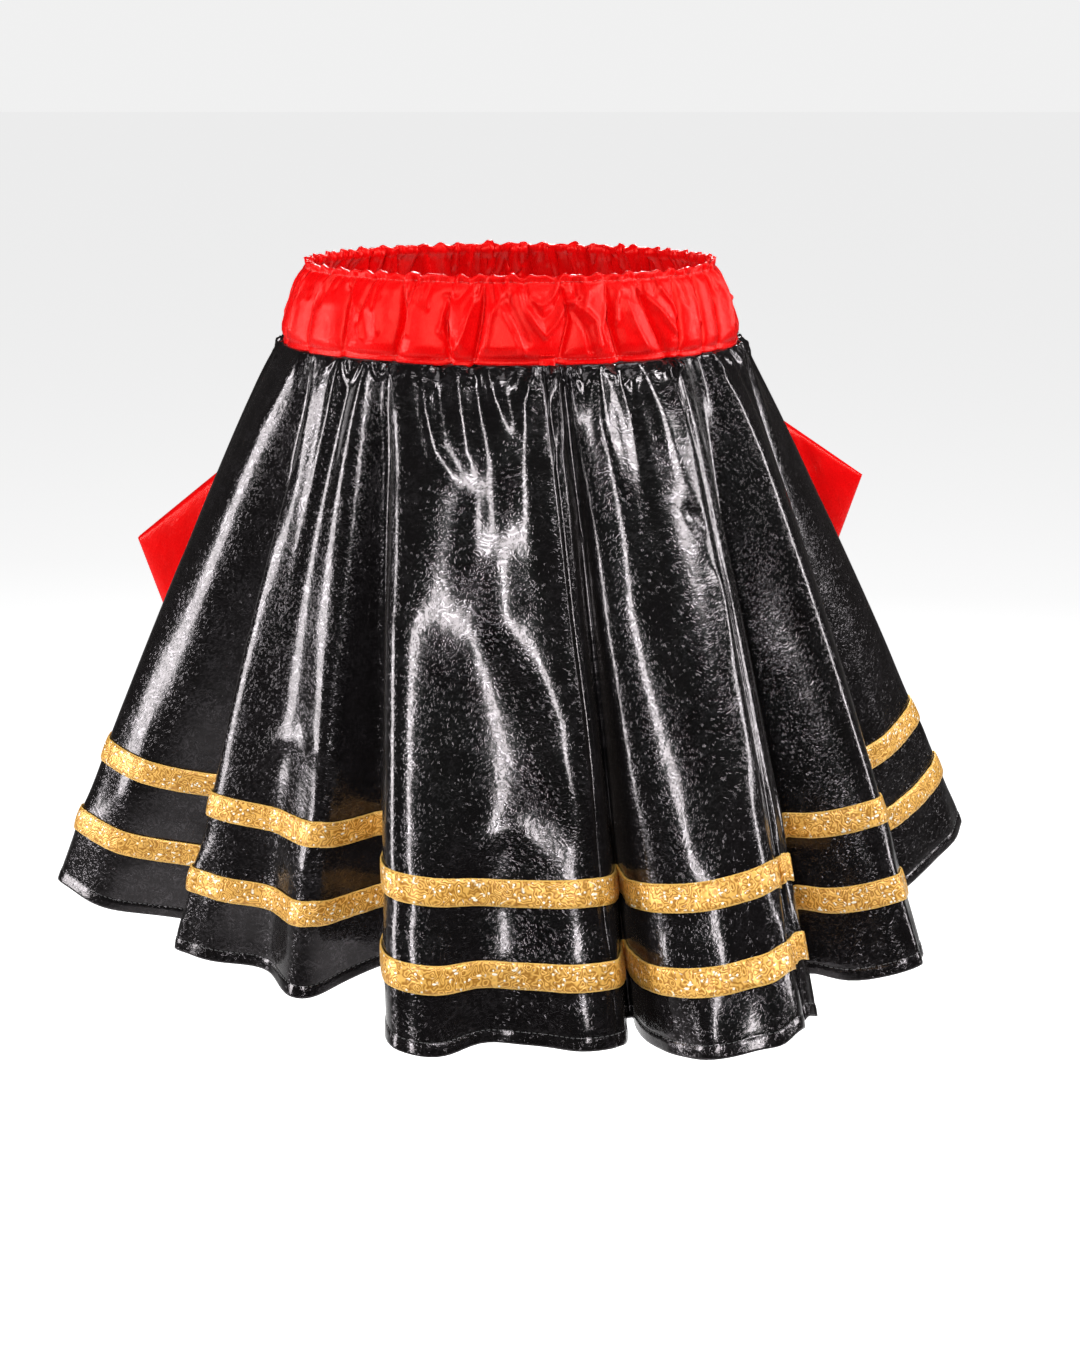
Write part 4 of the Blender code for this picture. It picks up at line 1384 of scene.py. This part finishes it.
@dataclass
class Studio:
    """The camera, the lights, the floor and the pale surroundings."""

    camera_place: tuple[float, float, float] = (0.0185, -1.30, 0.1622)
    camera_down: float = 17.61
    focal_pixels: float = 2032.5
    picture: tuple[int, int] = (1080, 1350)
    floor: float = -1.0
    boxes: tuple[SoftBox, ...] = (
        SoftBox("key_front", (-0.24, -1.66, 0.72), (0.27, 1.15), 24.0),
        SoftBox("window_left", (-1.85, -0.42, 0.06), (0.50, 1.0), 30.0),
        SoftBox("window_right", (1.82, -0.12, 0.45), (0.34, 1.1), 22.0),
        SoftBox("high_right", (1.35, -0.75, 1.25), (0.50, 0.55), 20.0),
        SoftBox("back_key", (0.25, 1.66, 1.0), (0.34, 0.90), 29.0),
        SoftBox("fill_top", (0.0, -0.6, 2.3), (1.0, 1.0), 9.0),
    )

    def build(self) -> None:
        """Make everything round the skirt."""
        self.build_camera()
        for box in self.boxes:
            self.build_box(box)
        self.build_world()
        self.build_floor()
        bpy.context.scene.view_settings.view_transform = "Standard"

    def build_camera(self) -> None:
        """Stand the camera where the photographer's was."""
        camera = bpy.data.cameras.new("camera")
        camera.sensor_width = 36.0
        camera.lens = self.focal_pixels / max(self.picture) * camera.sensor_width
        camera.clip_start, camera.clip_end = 0.05, 60.0
        stand = bpy.data.objects.new("camera", camera)
        stand.location = self.camera_place
        stand.rotation_euler = (math.radians(90 - self.camera_down), 0.0, 0.0)
        bpy.context.scene.collection.objects.link(stand)
        bpy.context.scene.camera = stand

    @staticmethod
    def build_box(box: SoftBox) -> None:
        """Hang one soft box."""
        light = bpy.data.lights.new(box.name, "AREA")
        light.shape = "RECTANGLE"
        light.size, light.size_y = box.size
        light.energy = box.power
        light.color = box.colour
        lamp = bpy.data.objects.new(box.name, light)
        lamp.location = box.place
        lamp.rotation_euler = (Vector(box.aim) - Vector(box.place)).to_track_quat("-Z", "Y").to_euler()
        bpy.context.scene.collection.objects.link(lamp)

    @staticmethod
    def build_world() -> None:
        """Make the surroundings white to the eye and dim to the cloth."""
        world = bpy.data.worlds.new("studio")
        bpy.context.scene.world = world
        world.use_nodes = True
        nodes = Nodes(world.node_tree)
        seen = nodes.add("ShaderNodeLightPath").outputs["Is Camera Ray"]
        background = world.node_tree.nodes["Background"]
        colour = nodes.blend(seen, (0.022, 0.022, 0.023, 1.0), (0.875, 0.875, 0.875, 1.0))
        world.node_tree.links.new(colour, background.inputs["Color"])
        background.inputs["Strength"].default_value = 1.0

    def build_floor(self) -> None:
        """Lay the pale floor."""
        work = bmesh.new()
        bmesh.ops.create_grid(work, x_segments=1, y_segments=1, size=30.0)
        bmesh.ops.translate(work, verts=work.verts, vec=(0.0, 0.0, self.floor))
        floor = new_object("floor", work)
        material = bpy.data.materials.new("pale_floor")
        material.use_nodes = True
        shader = material.node_tree.nodes["Principled BSDF"]
        shader.inputs["Base Color"].default_value = (0.86, 0.86, 0.86, 1.0)
        shader.inputs["Roughness"].default_value = 0.9
        shader.inputs["Emission Color"].default_value = (1.0, 1.0, 1.0, 1.0)
        nodes = Nodes(material.node_tree)
        seen = nodes.add("ShaderNodeLightPath").outputs["Is Camera Ray"]
        material.node_tree.links.new(nodes.math("MULTIPLY", seen, 0.82), shader.inputs["Emission Strength"])
        floor.data.materials.append(material)


# ---------------------------------------------------------------------------------------------------------
# Creases placed one by one
# ---------------------------------------------------------------------------------------------------------

RIBBONS = (
    Ribbon("glitter_ribbon_upper", "ribbon_upper", 0.079, (
        (0, 0.0), (6, 0.0), (8, 0.014), (9, 0.010), (10, 0.008), (12, 0.012), (15, 0.012),
        (20, 0.008), (36, 0.008),
        (40, 0.014), (45, 0.015), (46, 0.018), (47, 0.010), (48, 0.004), (49, 0.002), (52, 0.0))),
    Ribbon("glitter_ribbon_lower", "ribbon_lower", 0.033, (
        (0, 0.0), (6, 0.0), (8, 0.012), (9, 0.008), (10, 0.005), (12, 0.010), (15, 0.010),
        (20, 0.007), (36, 0.007),
        (40, 0.007), (45, 0.009), (46, 0.014), (47, 0.007), (48, 0.001), (49, 0.0), (52, 0.0))),
)
HEM_WAVES = (
    HemWave(-10.2, 0.35, 0.004, -0.001), HemWave(-9.7, 0.30, -0.004, 0.0), HemWave(-7.45, 0.25, 0.004, 0.0),
    HemWave(-6.95, 0.30, -0.005, 0.001), HemWave(-6.2, 0.30, 0.004, 0.0), HemWave(-5.6, 0.30, -0.004, 0.0),
    HemWave(-3.62, 0.30, 0.006, -0.003), HemWave(-3.15, 0.26, -0.007, 0.0055),
    HemWave(-2.75, 0.25, -0.002, 0.003),
    HemWave(-2.35, 0.25, 0.003, 0.0), HemWave(-0.1, 0.30, -0.003, 0.0), HemWave(0.65, 0.40, 0.003, -0.0015),
    HemWave(1.55, 0.25, 0.005, -0.003), HemWave(8.05, 0.30, -0.005, 0.008), HemWave(8.75, 0.25, 0.004, 0.0),
    HemWave(9.4, 0.30, -0.004, 0.0), HemWave(10.2, 0.30, 0.003, -0.001), HemWave(12.3, 0.30, 0.004, 0.0),
)
CREASES = (
    Crease(((-9.95, 0.0), (-10.29, 0.053), (-10.34, 0.112), (-10.2, 0.19), (-9.8, 0.26)),
           (0.0022, 0.0016), (0.005, 0.020)),
    Crease(((-9.88, 0.0), (-8.98, 0.024), (-8.02, 0.077), (-7.8, 0.13), (-7.75, 0.2)),
           (-0.0030, -0.0010), (0.005, 0.009)),
    Crease(((-8.7, 0.0), (-8.2, 0.03), (-7.9, 0.06)), (0.0014, 0.0008), (0.003, 0.004)),
    Crease(((-7.3, 0.0), (-7.2, 0.038), (-7.23, 0.092), (-7.26, 0.155), (-7.2, 0.26)),
           (0.0018, 0.0007), (0.0030, 0.005)),
    Crease(((-6.75, 0.0), (-6.8, 0.06), (-6.85, 0.12), (-6.9, 0.2)), (-0.0020, -0.0007), (0.004, 0.010)),
    Crease(((-6.1, 0.0), (-6.31, 0.048), (-6.47, 0.1), (-6.6, 0.16), (-6.5, 0.24)),
           (0.0028, 0.0010), (0.0045, 0.016)),
    Crease(((-6.5, 0.17), (-6.02, 0.21), (-5.52, 0.25), (-5.37, 0.30)), (0.0010, 0.0008), (0.012, 0.012)),
    Crease(((-5.2, 0.0), (-5.1, 0.03), (-5.0, 0.07), (-4.95, 0.14)), (-0.0024, -0.0008), (0.006, 0.012)),
    Crease(((-4.55, 0.0), (-4.6, 0.04), (-4.65, 0.09)), (0.0013, 0.0007), (0.003, 0.006)),
    Crease(((-3.69, 0.0), (-3.60, 0.029), (-3.49, 0.053), (-3.28, 0.066), (-3.0, 0.075)),
           (0.0030, 0.0026), (0.0050, 0.0040)),
    Crease(((-3.45, 0.0), (-3.38, 0.03), (-3.3, 0.050)), (-0.0026, -0.0014), (0.0035, 0.004)),
    Crease(((-3.2, 0.0), (-3.15, 0.028), (-3.09, 0.052), (-2.97, 0.072)), (0.0022, 0.0018), (0.0026, 0.0032)),
    Crease(((-2.98, 0.070), (-3.05, 0.10), (-3.15, 0.13), (-3.32, 0.19)), (0.0020, 0.0008), (0.006, 0.012)),
    Crease(((-2.40, 0.05), (-2.76, 0.11), (-2.78, 0.15), (-2.40, 0.185), (-2.08, 0.22), (-1.98, 0.30)),
           (0.0045, 0.0048),
           (0.018, 0.020)),
    Crease(((-3.98, 0.03), (-3.95, 0.08), (-3.93, 0.12), (-3.90, 0.16)), (-0.0045, -0.0030), (0.020, 0.020)),
    Crease(((0.15, 0.10), (0.10, 0.16), (0.22, 0.21), (0.32, 0.30)), (0.0030, 0.0030), (0.019, 0.022)),
    Crease(((-2.98, 0.0), (-2.90, 0.03), (-2.80, 0.06), (-2.78, 0.12)), (-0.0030, -0.0012), (0.0040, 0.006)),
    Crease(((-2.83, 0.0), (-2.72, 0.019), (-2.55, 0.045), (-2.50, 0.10)), (0.0020, 0.0008), (0.0026, 0.004)),
    Crease(((-2.6, 0.0), (-2.58, 0.02), (-2.5, 0.04)), (-0.0016, -0.0008), (0.0022, 0.003)),
    Crease(((-2.15, 0.0), (-2.35, 0.023), (-2.41, 0.063), (-2.42, 0.116), (-2.40, 0.16), (-2.30, 0.26)),
           (0.0026, 0.0010), (0.0030, 0.010)),
    Crease(((-1.55, 0.0), (-1.80, 0.018), (-2.2, 0.041)), (0.0020, 0.0010), (0.0028, 0.003)),
    Crease(((-1.35, 0.0), (-1.50, 0.035), (-2.0, 0.060), (-2.3, 0.082)), (0.0024, 0.0012), (0.0030, 0.004)),
    Crease(((-0.9, 0.0), (-1.1, 0.04), (-1.6, 0.09)), (-0.0028, -0.0012), (0.004, 0.005)),
    Crease(((-0.45, 0.0), (-0.5, 0.03), (-0.6, 0.07)), (0.0014, 0.0008), (0.003, 0.004)),
    Crease(((0.47, 0.0), (0.37, 0.036), (0.45, 0.07), (0.47, 0.13), (0.55, 0.20), (0.8, 0.29)),
           (0.0026, 0.0010), (0.0032, 0.011)),
    Crease(((0.85, 0.0), (0.90, 0.03), (0.88, 0.08), (0.92, 0.14)), (-0.0026, -0.0008), (0.0035, 0.005)),
    Crease(((1.28, 0.0), (1.50, 0.033), (1.57, 0.07), (1.72, 0.10)), (0.0022, 0.0012), (0.004, 0.010)),
    Crease(((1.55, 0.090), (1.78, 0.103), (1.92, 0.112)), (-0.0018, -0.0008), (0.004, 0.004)),
    Crease(((2.1, 0.0), (2.6, 0.03), (3.2, 0.06)), (-0.0018, -0.0008), (0.004, 0.006)),
    Crease(((3.3, 0.0), (3.6, 0.03), (4.2, 0.07)), (0.0020, 0.0010), (0.004, 0.006)),
    Crease(((8.35, 0.0), (8.75, 0.033), (8.95, 0.07), (8.85, 0.14), (8.73, 0.24)),
           (0.0024, 0.0009), (0.0035, 0.012)),
    Crease(((7.6, 0.0), (7.9, 0.04), (8.1, 0.10)), (-0.0018, -0.0008), (0.004, 0.008)),
    Crease(((9.6, 0.0), (9.8, 0.05), (9.9, 0.12)), (-0.0022, -0.0008), (0.004, 0.008)),
    Crease(((10.5, 0.0), (10.6, 0.05), (10.5, 0.12)), (0.0020, 0.0006), (0.004, 0.010)),
    Crease(((12.0, 0.0), (12.15, 0.067), (12.35, 0.14), (12.42, 0.24)), (0.0022, 0.0009), (0.004, 0.012)),
    Crease(((-3.24, 0.287), (-2.93, 0.270), (-2.8, 0.267), (-2.62, 0.285)), (0.0016, 0.0012), (0.006, 0.006)),
    Crease(((-2.42, 0.215), (-2.24, 0.25), (-2.11, 0.280)), (0.0018, 0.0014), (0.008, 0.007)),
    Crease(((-7.41, 0.262), (-7.03, 0.241), (-6.6, 0.234)), (0.0012, 0.0018), (0.006, 0.007)),
    Crease(((-6.45, 0.236), (-5.93, 0.240), (-5.52, 0.268), (-5.32, 0.285)),
           (0.0018, 0.0012), (0.008, 0.006)),
    Crease(((1.95, 0.126), (2.1, 0.15), (1.98, 0.185)), (0.0014, 0.0012), (0.005, 0.005)),
)
SWAGS = (
    Swag(-9.2, 0.006, 0.010, 0.0012), Swag(-7.75, 0.005, 0.007, 0.0010), Swag(-6.72, 0.0075, 0.013, 0.0018),
    Swag(-5.55, 0.006, 0.009, 0.0012), Swag(-4.15, 0.008, 0.009, 0.0014), Swag(-3.43, 0.0065, 0.012, 0.0018),
    Swag(-3.02, 0.0045, 0.009, 0.0014), Swag(-2.58, 0.006, 0.011, 0.0018), Swag(-2.28, 0.0045, 0.015, 0.0016),
    Swag(-1.85, 0.0045, 0.008, 0.0012), Swag(-1.1, 0.005, 0.010, 0.0014), Swag(-0.25, 0.006, 0.008, 0.0012),
    Swag(0.10, 0.005, 0.013, 0.0016), Swag(0.72, 0.006, 0.009, 0.0014), Swag(1.08, 0.005, 0.014, 0.0016),
    Swag(1.70, 0.006, 0.010, 0.0014), Swag(2.60, 0.006, 0.008, 0.0012), Swag(8.60, 0.006, 0.011, 0.0014),
    Swag(9.20, 0.005, 0.009, 0.0012), Swag(10.10, 0.006, 0.010, 0.0014), Swag(11.20, 0.006, 0.009, 0.0012),
)
HIDDEN_STATIONS = (13.0, 41.0)    # where the photograph's creases end and the ones like them go on


def hidden_creases() -> tuple[list[Crease], list[Swag], list[HemWave]]:
    """Return creases, swags and hem waves for the sides and the back, uneven like the front's."""
    seeded = random.Random(29)
    creases, swags, waves = [], [], []
    place = HIDDEN_STATIONS[0]
    while place < HIDDEN_STATIONS[1]:
        ridge = seeded.choice((1, 1, -1))
        length = seeded.uniform(0.05, 0.26) if ridge > 0 else seeded.uniform(0.05, 0.15)
        drift = seeded.uniform(-0.35, 0.35)
        path = tuple(
            (place + drift * (share + 0.3 * math.sin(4 * share)), length * share)
            for share in (0, 0.3, 0.65, 1)
        )
        tall = ridge * seeded.uniform(0.0014, 0.0030)
        creases.append(
            Crease(path, (tall, tall * 0.4), (seeded.uniform(0.0028, 0.0050), seeded.uniform(0.006, 0.014)))
        )
        waves.append(
            HemWave(
                place, seeded.uniform(0.2, 0.4), seeded.uniform(-0.005, 0.005), seeded.uniform(-0.002, 0.002)
            )
        )
        swags.append(
            Swag(
                place + 0.3, seeded.uniform(0.004, 0.007), seeded.uniform(0.007, 0.014),
                seeded.uniform(0.001, 0.0018),
            )
        )
        place += seeded.uniform(0.35, 0.85)
    return creases, swags, waves


def main() -> None:
    """Load the model, stand the studio round it and dress it."""
    logging.basicConfig(level=logging.INFO, format="%(message)s")
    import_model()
    Studio().build()
    wardrobe = Wardrobe()
    form = ClothForm()
    more_creases, more_swags, more_waves = hidden_creases()
    form.waves = [*HEM_WAVES, *more_waves]
    form.creases = [*CREASES, *more_creases]
    form.swags = [*SWAGS, *more_swags]
    cloth = SkirtCloth(form)
    cloth.build(wardrobe)
    for ribbon in RIBBONS:
        ribbon.build(cloth, wardrobe)
    Waistband().build(wardrobe)
    Bow().build(wardrobe)


if __name__ == "__main__":
    main()
